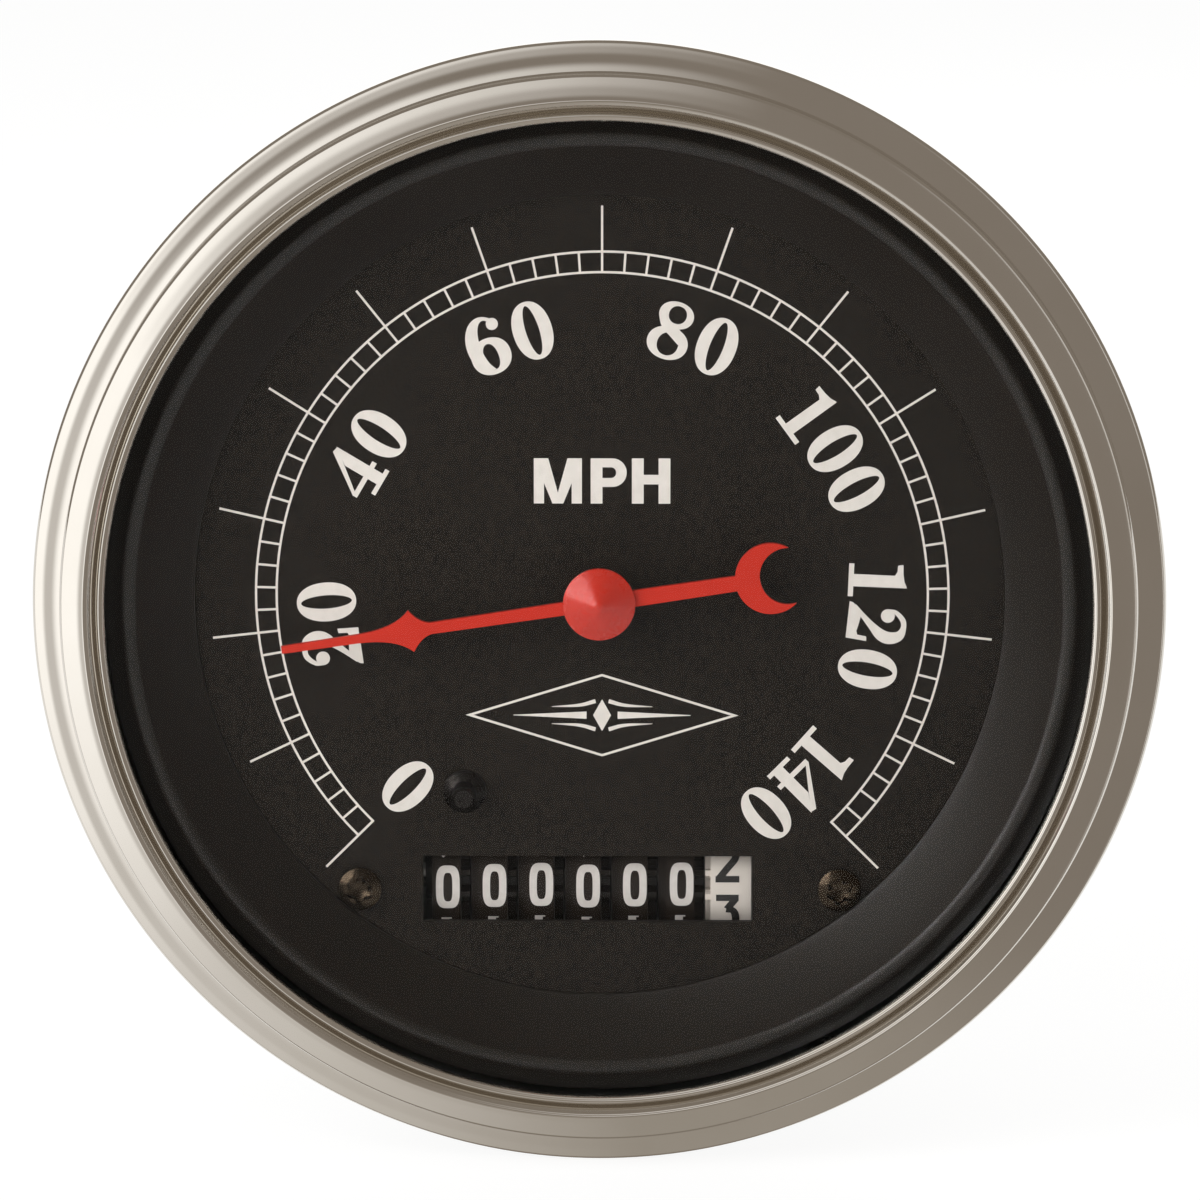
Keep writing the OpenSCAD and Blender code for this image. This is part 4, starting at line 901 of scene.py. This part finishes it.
@dataclass
class DialPrint:
    """Everything printed on the dial: the scale's band of cells, the figures and the unit."""

    middle: Triple = (0.2, 0.15, -3.8)     # the print sits a hair off centre
    ink: float = 0.02
    inner_r: float = 27.15
    outer_r: float = 28.87
    long_r: float = 32.6
    line_w: float = 0.19
    zero_deg: float = 225.0
    sweep_deg: float = 270.0
    arc_points: int = 280
    cells: int = 70
    long_every: int = 5
    figure_r: float = 23.0
    top_speed: int = 140
    figure_every: int = 20
    figure_size: float = 1.013
    figure_lean: float = 0.6            # 0 turns each figure with the arc, 1 sets a speed straight
    unit_y: float = 9.8
    stripe_y: float = -10.0
    stripe_half: Pair = (11.4, 3.5)
    advances: dict[str, float] = field(default_factory=lambda: {
        "0": 3.8, "1": 3.4, "2": 3.9, "4": 3.2, "6": 3.75, "8": 4.05})

    def angle(self, speed: float) -> float:
        """Direction of a speed on the scale, in degrees anticlockwise from +x."""
        return self.zero_deg - self.sweep_deg * speed / self.top_speed

    def scale_marks(self) -> Surface:
        """Two arcs with cell lines between them, and a long line from the inner arc at each fifth."""
        parts = []
        for radius in (self.inner_r, self.outer_r):
            path = arc((0, 0), radius, self.zero_deg, self.zero_deg - self.sweep_deg, self.arc_points)
            parts.append(slab(*edges_of(path, self.line_w, False), INK_SUNK, self.ink, False))
        for i in range(self.cells + 1):
            turn = math.radians(self.zero_deg - self.sweep_deg * i / self.cells)
            far = self.long_r if i % self.long_every == 0 else self.outer_r
            out = np.array([math.cos(turn), math.sin(turn)])
            path = np.array([out * (self.inner_r - self.line_w / 2), out * (far + self.line_w / 2)])
            edges = edges_of(path, self.line_w, False)
            parts.append(slab(*edges, INK_SUNK, self.ink + INK_STEP, False))
        return Surface.joined(parts).moved(shifted(*self.middle))

    def on_dial(self, degrees: float, top_degrees: float) -> Placer:
        """Placing of a figure on the ring of figures.

        Args:
            degrees: Direction of its middle from the hub.
            top_degrees: Direction that its top points in.

        Returns:
            Placing that turns the figure and moves it out along its direction.
        """
        turn, top = math.radians(degrees), math.radians(top_degrees)
        at = self.figure_r * np.array([math.cos(turn), math.sin(turn)]) + self.middle[:2]
        up = self.figure_size * np.array([math.cos(top), math.sin(top)])
        side = np.array([up[1], -up[0]])

        def place(points: np.ndarray) -> np.ndarray:
            flat = points[:, :1] * side + points[:, 1:2] * up + at
            return np.column_stack([flat, points[:, 2] + self.middle[2]])

        return place

    def figures(self) -> Surface:
        """Speeds along the arc, their figures leaning towards a straight line."""
        parts = []
        for speed in range(0, self.top_speed + 1, self.figure_every):
            text = str(speed)
            widths = np.array([self.advances[c] for c in text]) * self.figure_size
            middles = np.cumsum(widths) - widths / 2 - widths.sum() / 2
            for c, along in zip(text, middles):
                off = -math.degrees(along / self.figure_r)
                place = self.on_dial(self.angle(speed) + off,
                                     self.angle(speed) + off * (1 - self.figure_lean))
                parts.append(Ink.solid(Ink.serif(c), self.ink).moved(place))
        return Surface.joined(parts)

    def unit(self) -> Surface:
        """The unit above the hub, in plain bold capitals."""
        return Surface.joined([
            Ink.solid(Ink.capital(letter), self.ink).moved(shifted(x, self.unit_y, self.middle[2]))
            for letter, x in (("M", -3.48), ("P", 0.75), ("H", 4.28))])

    def pinstripe(self) -> Surface:
        """Plain pinstripe under the hub: a lozenge line round a diamond and four tapered strokes."""
        half_w, half_h = self.stripe_half
        slope = math.hypot(half_w, half_h)
        inner = (half_w - self.line_w * slope / half_h, half_h - self.line_w * slope / half_w)
        strokes = [Ink.ring((0, 0, half_w, half_h), (0, 0, *inner), 96, 1.0),
                   Ink.ring((0, 0, 0.75, 1.35), (0, 0, 0.01, 0.01), 32, 1.0)]
        for side in (-1, 1):
            strokes.append(Ink.pen([(side * 1.3, 0, 0.62), (side * 3.6, 0, 0.4),
                                    (side * 7.4, 0, 0.05)], 24))
            for up in (-1, 1):
                strokes.append(Ink.pen([(side * 0.55, up * 1.2, 0.34), (side * 1.9, up * 0.85, 0.26),
                                        (side * 4.2, up * 0.72, 0.04)], 24))
        place = shifted(self.middle[0], self.stripe_y, self.middle[2])
        return Ink.solid(strokes, self.ink).moved(place)

    def build(self) -> None:
        """Prints the dial."""
        for name, shape in (("scale_marks", self.scale_marks()), ("speed_figures", self.figures()),
                            ("unit_letters", self.unit()), ("pinstripe", self.pinstripe())):
            settle(name, shape, Body.HOUSING, PRINT_INK)


@dataclass
class DrumPrint:
    """Figures round the seven counter drums, curved with them."""

    axis_y: float = -24.8
    axis_z: float = -11.9
    drum_r: float = 6.9
    first_x: float = -12.91 + 0.13      # figures sit a little right of a band's middle
    pitch: float = 3.93
    tenths_x: float = 11.0 - 0.29
    tenths_height: float = 0.88
    ink: float = 0.03
    shown: tuple[float, ...] = (-0.037, -0.007, 0.018, -0.013, 0.014, 0.03)
    tenths_shown: float = 2.454

    def round_drum(self, x: float, degrees: float) -> Placer:
        """Placing that wraps a flat figure on the drum, this far up from its front."""
        def place(points: np.ndarray) -> np.ndarray:
            turn = points[:, 1] / self.drum_r + math.radians(degrees)
            radius = self.drum_r + points[:, 2]
            return np.column_stack([points[:, 0] + x, self.axis_y + radius * np.sin(turn),
                                    self.axis_z + radius * np.cos(turn)])
        return place

    def figures(self, x: float, shown: float, height: float = 1.0) -> Surface:
        """All ten figures of a drum.

        Args:
            x: Place of their middle along the shaft.
            shown: Reading at the drum's front.
            height: Share of the black drums' figure height.

        Returns:
            The figures, wrapped on the drum.
        """
        parts = []
        for digit in range(10):
            flat = Ink.solid(Ink.plain(digit), self.ink)
            flat.points[:, 1] *= height
            parts.append(flat.moved(self.round_drum(x, -36 * (digit - shown))))
        return Surface.joined(parts)

    def build(self) -> None:
        """Prints every drum."""
        for i, shown in enumerate(self.shown):
            settle(f"drum_figures_{i + 1}", self.figures(self.first_x + i * self.pitch, shown),
                   Body[f"DIGIT_{i + 1}"], DRUM_INK)
        figures = self.figures(self.tenths_x, self.tenths_shown, self.tenths_height)
        settle("drum_figures_tenths", figures, Body.TENTHS, DRUM_BLACK_INK)


@dataclass
class DialScrews:
    """Two button head screws with six-lobed sockets, beside the counter's window."""

    x: float = 20.1
    y: float = -24.8
    seat_z: float = -3.8
    head_r: float = 1.8
    edge_h: float = 0.5
    dome_sunk: float = 3.0              # depth of the dome's centre below the head's edge
    socket_r: float = 0.98
    lobe: float = 0.13
    floor_h: float = -0.1
    point_h: float = 0.6                # depth of the socket's drilled point below its floor
    shank_r: float = 1.1
    shank_len: float = 3.6
    turned_deg: Pair = (12.0, 37.0)
    segments: int = 72

    def screw(self, turned: float) -> Surface:
        """One screw: a domed head whose socket's radius swells and shrinks six times round."""
        dome_r = math.hypot(self.head_r, self.dome_sunk)
        edge = math.degrees(math.atan2(self.dome_sunk, self.head_r))
        rim = math.degrees(math.acos((self.socket_r + self.lobe + 0.1) / dome_r))
        dome = arc((0, self.edge_h - self.dome_sunk), dome_r, rim, edge, 8)
        top = dome[0, 1] + 0.04
        profile = np.vstack([
            [[0, self.floor_h - self.point_h], [0.88 * self.socket_r, self.floor_h],
             [self.socket_r, self.floor_h + 0.05],
             [self.socket_r, top - 0.12], [self.socket_r + 0.06, top]], dome,
            [[self.head_r, 0], [self.shank_r, 0], [self.shank_r, -self.shank_len],
             [0, -self.shank_len]]])
        wave = self.lobe * np.cos(6 * turns(self.segments) + math.radians(turned))
        share = np.zeros((len(profile), 1))
        share[2:5, 0] = 1.0
        return lathe(profile, self.segments, False, share * wave)

    def build(self) -> None:
        """Sets both screws in place of the CAD pair."""
        pair = [self.screw(turned).moved(shifted(side * self.x, self.y, self.seat_z))
                for side, turned in zip((-1, 1), self.turned_deg)]
        settle("dial_screw_pair", Surface.joined(pair), Body.HOUSING, SCREW_OXIDE, Slot.BLACKENED,
               "dial_screws", 30.0)


@dataclass(frozen=True)
class Thread:
    """A rolled thread on a rod that runs front to back: a V groove that climbs in a helix."""

    crest_r: float
    pitch: float
    depth: float
    start_z: float
    end_z: float
    steps: int = 10                     # rows to each turn
    steepness: float = 1.25             # of the V's sides, next to one without a flat crest and root
    crest: float = 0.1                  # what the crest's flat takes off the V
    fade_turns: float = 0.6

    def profile(self) -> np.ndarray:
        """Rows of crest radius and height along the threaded stretch."""
        rows = int(abs(self.end_z - self.start_z) / self.pitch * self.steps)
        heights = np.linspace(self.start_z, self.end_z, rows)
        return np.column_stack([np.full(rows, self.crest_r), heights])

    def dent(self, segments: int) -> np.ndarray:
        """Depth of the groove: a V in z / pitch + angle / 360, faded out at both ends.

        Args:
            segments: Steps round the rod.

        Returns:
            The cut in the radius, for each of the profile's rows and each step.
        """
        height = self.profile()[:, 1:2]
        phase = (height / self.pitch + turns(segments) / (2 * np.pi)) % 1.0
        groove = np.clip(self.steepness * (1 - np.abs(2 * phase - 1)) - self.crest, 0, 1)
        ends = np.minimum(np.abs(height - self.start_z), np.abs(height - self.end_z))
        return self.depth * groove * np.clip(ends / (self.fade_turns * self.pitch), 0, 1)


def threaded(before: Points, thread: Thread, after: Points,
             segments: int, closed: bool) -> Surface:
    """Turned rod with a threaded stretch between two plain ones.

    Args:
        before: Rows of radius and height ahead of the thread.
        thread: The thread.
        after: Rows behind it.
        segments: Steps round the rod.
        closed: Whether the section closes on itself, as a sleeve's does.

    Returns:
        The turned surface.
    """
    dent = np.vstack([np.zeros((len(before), segments)), thread.dent(segments),
                      np.zeros((len(after), segments))])
    return lathe(np.vstack([before, thread.profile(), after]), segments, closed, dent)


@dataclass
class CableInlet:
    """Threaded sleeve that the drive cable screws onto, with its flange and neck inside the case."""

    thread: Thread = Thread(7.94, 1.41, 0.7, -53.6, -63.2)
    bore_r: float = 5.0
    root_r: float = 8.5
    root_end_z: float = -53.3
    end_z: float = -64.0
    chamfer: float = 0.8
    flange_r: float = 11.0
    case_z: float = -49.2
    flange_z: float = -47.2
    neck_r: float = 5.2
    neck_z: float = -41.7
    bush_r: float = 3.22

    def build(self) -> None:
        """Makes the sleeve in place of the CAD one."""
        before = [(self.bore_r, self.flange_z - 0.5), (self.bush_r, self.flange_z),
                  (self.bush_r, self.neck_z), (self.neck_r, self.neck_z), (self.neck_r, self.flange_z),
                  (self.flange_r, self.flange_z), (self.flange_r, self.case_z),
                  (self.root_r, self.case_z), (self.root_r, self.root_end_z),
                  (self.thread.crest_r, self.root_end_z)]
        after = [(self.thread.crest_r - self.chamfer, self.end_z), (self.bore_r + 0.4, self.end_z),
                 (self.bore_r, self.end_z + 0.4)]
        settle("cable_inlet", threaded(before, self.thread, after, 96, True), Body.HOUSING, INLET_ZINC,
               Slot.PLATED, "cable_ferrule", 40.0)


@dataclass
class MountingStuds:
    """Two threaded studs for the clamp bracket, their heads inside the case."""

    x: float = STUD_X
    thread: Thread = Thread(2.0, 0.7, 0.36, -54.1, -65.5, 8)
    root_r: float = 2.5
    root_end_z: float = -53.9
    tip_z: float = -66.0
    chamfer: float = 0.5
    head_r: float = 4.3
    case_z: float = -49.2
    head_z: float = -47.8

    def build(self) -> None:
        """Makes both studs in place of the CAD pair."""
        before = [(0, self.head_z), (self.head_r - 0.3, self.head_z), (self.head_r, self.head_z - 0.3),
                  (self.head_r, self.case_z), (self.root_r, self.case_z),
                  (self.root_r, self.root_end_z), (self.thread.crest_r, self.root_end_z)]
        after = [(self.thread.crest_r - self.chamfer, self.tip_z), (0, self.tip_z)]
        stud = threaded(before, self.thread, after, 36, False)
        pair = [stud.moved(shifted(side * self.x, 0, 0)) for side in (-1, 1)]
        settle("threaded_studs", Surface.joined(pair), Body.HOUSING, STUD_ZINC, Slot.PLATED,
               "mounting_studs", 40.0)


@dataclass
class HexNut:
    """Hexagonal nuts of one size, their rear corners chamfered by a cone."""

    name: str
    node: str
    flats: float
    bore_r: float
    seat_z: float
    thickness: float
    places: tuple[float, ...] = (0.0,)
    chamfer_share: float = 0.97         # of the flats, where the rear chamfer meets the face
    chamfer_deg: float = 30.0
    bore_chamfer: float = 0.35
    segments: int = 96

    def nut(self) -> Surface:
        """One nut: the hexagon's radius at angle t is half the flats over cos(t mod 60 - 30)."""
        t = turns(self.segments)
        half = self.flats / 2
        hexagon = half / np.cos(t % (np.pi / 3) - np.pi / 6)
        end_z = self.seat_z - self.thickness
        chamfer_r, bore_end = self.chamfer_share * half, end_z + self.bore_chamfer
        profile = np.array([[self.bore_r, self.seat_z], [half, self.seat_z], [half, end_z],
                            [chamfer_r, end_z], [self.bore_r + self.bore_chamfer, end_z],
                            [self.bore_r, bore_end]])
        dent = np.zeros((len(profile), self.segments))
        drop = np.zeros_like(dent)
        dent[1:3] = half - hexagon
        drop[2] = -(hexagon - chamfer_r) * math.tan(math.radians(self.chamfer_deg))
        return lathe(profile, self.segments, True, dent, drop)

    def build(self) -> None:
        """Makes the nuts in place of the CAD ones."""
        nuts = [self.nut().moved(shifted(x, 0, 0)) for x in self.places]
        settle(self.name, Surface.joined(nuts), Body.HOUSING, NUT_ZINC, Slot.PLATED, self.node, 25.0)


def dress_nodes() -> None:
    """Gives each CAD node that still shows the finish of its slot."""
    for name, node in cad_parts.items():
        if not node.hide_render:
            slot = node.data.materials[0].name.split(".")[0]
            SLOT_FINISHES[slot].dress(node)


# Stage


@dataclass
class Stage:
    """White floor, soft lamps, a studio to reflect and the photograph's camera."""

    floor_half: float = 3.0
    azimuth: float = 0.8
    elevation: float = 9.5
    lens_mm: float = 250.0
    sensor_mm: float = 36.0
    half_width: float = 0.0497
    aim: Triple = (0.00009, -0.001, 0.00052)
    world_glow: float = 0.5
    front_grey: str = "#948c84"         # dim room that metal facing the camera mirrors
    low_grey: str = "#aea8a0"           # paler table in front, below the dial
    # painted dark gap in what metal mirrors, not a real object
    gap_grey: str = "#8f877e"           # beside the object, between the cards and the backdrop
    card_level: float = 1.5             # white cards, as metal mirrors them
    lower_level: float = 0.48           # share of that for the lower card, and for it in the band
    band_level: float = 0.4
    floor_paint: PaintedFloor = PaintedFloor("pale floor", "#f9f8f6", 1.1, 0.8)
    mirrored_from: float = -1.0         # metal sees the floor from here backwards
    lamp_share: float = 0.7             # side of a lamp, next to its distance

    # Lamps: name, direction from the object, distance in metres and strength.
    lamps: tuple[tuple[str, Triple, float, float], ...] = (
        ("front lamp", (-0.75, -0.65, 0.4), 0.3, 2.1), ("back lamp", (0.5, 0.8, 0.6), 0.8, 0.9))

    # Painted reflections: cards painted round the object into what metal mirrors, lighting nothing. For
    # each, the side that the middle stands on, in degrees anticlockwise from +x as the camera sees it,
    # and the cosines of the angle from it where the card begins and is full.
    wide_card: Triple = (160.0, 0.03, 0.95)
    lower_card: Triple = (190.0, 0.1, 0.9)
    shade_card: Triple = (100.0, 0.62, 0.87)
    # painted glint: a narrow strip of painted reflection on the right, not a lamp
    strip_card: Triple = (12.0, 0.7, 0.97)

    # Fades by the cosine of the angle from what a flat front mirrors: start and end, then, where the
    # fade goes by the distance from a middle, its full height and that middle.
    front_fade: Pair = (0.95, 0.85)
    gap_fade: Pair = (0.16, 0.02)
    backdrop_fade: Pair = (-0.85, -0.95)
    band_fade: tuple[float, ...] = (0.05, 0.16, 1.0, 0.64)
    shade_fade: tuple[float, ...] = (0.2, 0.1, 0.5, 0.5)
    strip_fade: tuple[float, ...] = (0.06, 0.03, 0.45, 0.19)
    low_fade: Pair = (-0.5, -1.0)       # this one by height

    def floors(self) -> None:
        """Lays the floor under the bezel's lowest point.

        It is white to the camera, to glass and to metal. Metal sees only its rear part, and sees the
        room in place of its front part.
        """
        low, half, edge = CAD_BOX[0].z / MM, self.floor_half / MM, self.mirrored_from
        for name, near, far, mirrored in (("floor", edge, -half, True),
                                          ("front floor", half, edge, False)):
            corners = np.array([[-half, low, near], [half, low, near], [half, low, far],
                                [-half, low, far]])
            piece = make_piece(name, Surface(corners, np.array([[0, 1, 2, 3]])))
            self.floor_paint.dress(piece)
            piece.visible_glossy = mirrored

    @staticmethod
    def fade(tree: Tree, value: Socket | Node, start: float, end: float, high: float = 1.0,
             middle: float | None = None) -> Node:
        """Smooth step from nothing to its full height as a value goes from start to end.

        Args:
            tree: The world's node tree.
            value: What the step follows.
            start: Value where the step begins.
            end: Value where it is full.
            high: Its full height.
            middle: Where given, the step follows the value's distance from here.

        Returns:
            Node with the height.
        """
        if middle is not None:
            off = put(tree, "Math", {"operation": "SUBTRACT", 0: value, 1: middle})
            value = put(tree, "Math", {"operation": "ABSOLUTE", 0: off})
        return put(tree, "MapRange", {"interpolation_type": "SMOOTHSTEP", "Value": value,
                                      "From Min": start, "From Max": end, "To Max": high})

    @staticmethod
    def card(tree: Tree, around: Node, degrees: float, start: float, end: float) -> Node:
        """Share of a card that stands round one side of the object.

        Args:
            tree: The world's node tree.
            around: Direction seen along the object's axis, of length one.
            degrees: Side that the card's middle stands on.
            start: Cosine of the angle from the middle where the card begins.
            end: Cosine where it is full.

        Returns:
            Node with the share.
        """
        side = (math.cos(math.radians(degrees)), 0.0, math.sin(math.radians(degrees)))
        dot = put(tree, "VectorMath", {"operation": "DOT_PRODUCT", 0: around, 1: side}).outputs["Value"]
        return put(tree, "MapRange", {"Value": dot, "From Min": start, "From Max": end})

    def room(self, tree: Tree) -> Socket:
        """What metal mirrors, by direction.

        Painted reflections: these colours show only where metal and glass mirror the world, and light
        no matt surface. A dim room in front, paler below. Two white cards are painted at the left,
        broken by a band where only the lower one shows, dimmed, and a painted shade covers part of them
        at the top left. A narrow painted glint strip stands on the right. Beside the object is a
        painted dark gap, and behind it the white backdrop.

        Args:
            tree: The world's node tree.

        Returns:
            Output with the colour.
        """
        way = put(tree, "TexCoord").outputs["Generated"]
        back = self.to_camera()
        faced = put(tree, "VectorMath", {"operation": "DOT_PRODUCT", 0: way,
                                         1: (-back.x, back.y, -back.z)}).outputs["Value"]
        flat = put(tree, "VectorMath", {"operation": "MULTIPLY_ADD", 0: way, 1: (1.0, 0.0, 1.0),
                                        2: (back.x, 0.0, back.z)})
        around = put(tree, "VectorMath", {"operation": "NORMALIZE", 0: flat})
        wide, below, shade, strip = (self.card(tree, around, *card) for card in (
            self.wide_card, self.lower_card, self.shade_card, self.strip_card))
        off_band, dim, narrow, front, gap, behind = (self.fade(tree, faced, *fade) for fade in (
            self.band_fade, self.shade_fade, self.strip_fade, self.front_fade, self.gap_fade,
            self.backdrop_fade))
        lower, in_band, shaded, strip = (
            put(tree, "Math", {"operation": "MULTIPLY", 0: a, 1: b}) for a, b in (
                (below, self.lower_level), (below, self.band_level), (shade, dim), (strip, narrow)))
        left = put(tree, "Math", {"operation": "MAXIMUM", 0: wide, 1: lower})
        cards = put(tree, "Mix", {0: off_band, 2: in_band, 3: left})
        kept = put(tree, "Math", {"operation": "SUBTRACT", 0: 1.0, 1: shaded})
        for share in (kept, front):
            cards = put(tree, "Math", {"operation": "MULTIPLY", 0: cards, 1: share})
        height = put(tree, "SeparateXYZ", {0: around}).outputs[2]
        white = (*[self.card_level] * 3, 1.0)
        colour = linear(self.front_grey)
        # painted reflections laid over the dim room: paler table, white cards, painted glint strip,
        # painted dark gap, white backdrop
        for share, paint in ((self.fade(tree, height, *self.low_fade), linear(self.low_grey)),
                             (cards, white), (strip, white), (gap, linear(self.gap_grey)),
                             (behind, white)):
            colour = put(tree, "Mix", {"data_type": "RGBA", 0: share, 6: colour, 7: paint}).outputs[2]
        return colour

    def surroundings(self) -> None:
        """White to the camera, a dim room with white round it to metal, and an even soft light."""
        world = bpy.data.worlds.new("studio")
        bpy.context.scene.world = world
        world.use_nodes = True
        tree = world.node_tree
        tree.nodes.clear()
        rays = put(tree, "LightPath").outputs
        through = rays["Is Transmission Ray"]
        mirrored = put(tree, "Math", {"operation": "MAXIMUM", 0: rays["Is Glossy Ray"], 1: through})
        light = put(tree, "Mix", {"data_type": "RGBA", 0: mirrored, 6: (*[self.world_glow] * 3, 1),
                                  7: self.room(tree)}).outputs[2]
        first = put(tree, "Math", {"operation": "LESS_THAN", 0: rays["Glossy Depth"], 1: 0.5})
        glass = put(tree, "Math", {"operation": "MULTIPLY", 0: through, 1: first})
        seen = put(tree, "Math", {"operation": "MAXIMUM", 0: rays["Is Camera Ray"], 1: glass})
        colour = put(tree, "Mix", {"data_type": "RGBA", 0: seen, 6: light, 7: (1, 1, 1, 1)}).outputs[2]
        glow = put(tree, "Background", {"Strength": 1.0, "Color": colour})
        put(tree, "OutputWorld", {"Surface": glow})

    def lamp(self, name: str, come_from: Sequence[float], distance: float, strength: float) -> None:
        """Adds a soft box that metal doesn't mirror, so that only the cards show in it.

        Args:
            name: Name of the lamp.
            come_from: Direction of the lamp from the object.
            distance: How far off it stands, in metres. Its side is a fixed share of that.
            strength: Light on a surface at the origin that faces it: power / (pi distance^2).
        """
        data = bpy.data.lights.new(name, "AREA")
        data.energy = strength * math.pi * distance ** 2
        data.size = self.lamp_share * distance
        lamp = bpy.data.objects.new(name, data)
        lamp.visible_glossy = False
        bpy.context.scene.collection.objects.link(lamp)
        way = Vector(come_from).normalized()
        lamp.location = way * distance
        lamp.rotation_euler = way.to_track_quat("Z", "Y").to_euler()

    def to_camera(self) -> Vector:
        """Direction from the object to the camera, of length one."""
        a, e = math.radians(self.azimuth), math.radians(self.elevation)
        return Vector((math.sin(a) * math.cos(e), -math.cos(a) * math.cos(e), math.sin(e)))

    def camera(self) -> None:
        """Sets the camera at the photograph's angle, so far off that the bezel fills the same share."""
        data = bpy.data.cameras.new("camera")
        data.lens = self.lens_mm
        data.sensor_width = self.sensor_mm
        data.clip_start = 0.01
        distance = self.half_width * 2 * self.lens_mm / self.sensor_mm
        back = self.to_camera()
        camera = bpy.data.objects.new("camera", data)
        bpy.context.scene.collection.objects.link(camera)
        camera.location = back * distance + Vector(self.aim)
        camera.rotation_euler = back.to_track_quat("Z", "Y").to_euler()
        bpy.context.scene.camera = camera

    def build(self) -> None:
        """Sets the whole stage."""
        self.floors()
        self.surroundings()
        self.camera()
        for lamp in self.lamps:
            self.lamp(*lamp)
        bpy.context.scene.view_settings.view_transform = "Standard"


def main() -> None:
    """Builds every sub-assembly in order, then dresses the nodes and sets the stage."""
    logging.basicConfig(level=logging.INFO, format="%(name)s: %(message)s")
    inlet_nut = HexNut("inlet_nut", "ferrule_nut", 22.0, 8.55, -50.0, 3.0)
    stud_nuts = HexNut("stud_nut_pair", "stud_nuts", 8.0, 2.55, -51.0, 2.6, (-STUD_X, STUD_X),
                       segments=48)
    for part in (BezelRing(), SurroundRing(), DialPrint(), DrumPrint(), DialScrews(), CableInlet(),
                 MountingStuds(), inlet_nut, stud_nuts):
        part.build()
    dress_nodes()
    Stage().build()


if __name__ == "__main__":
    main()
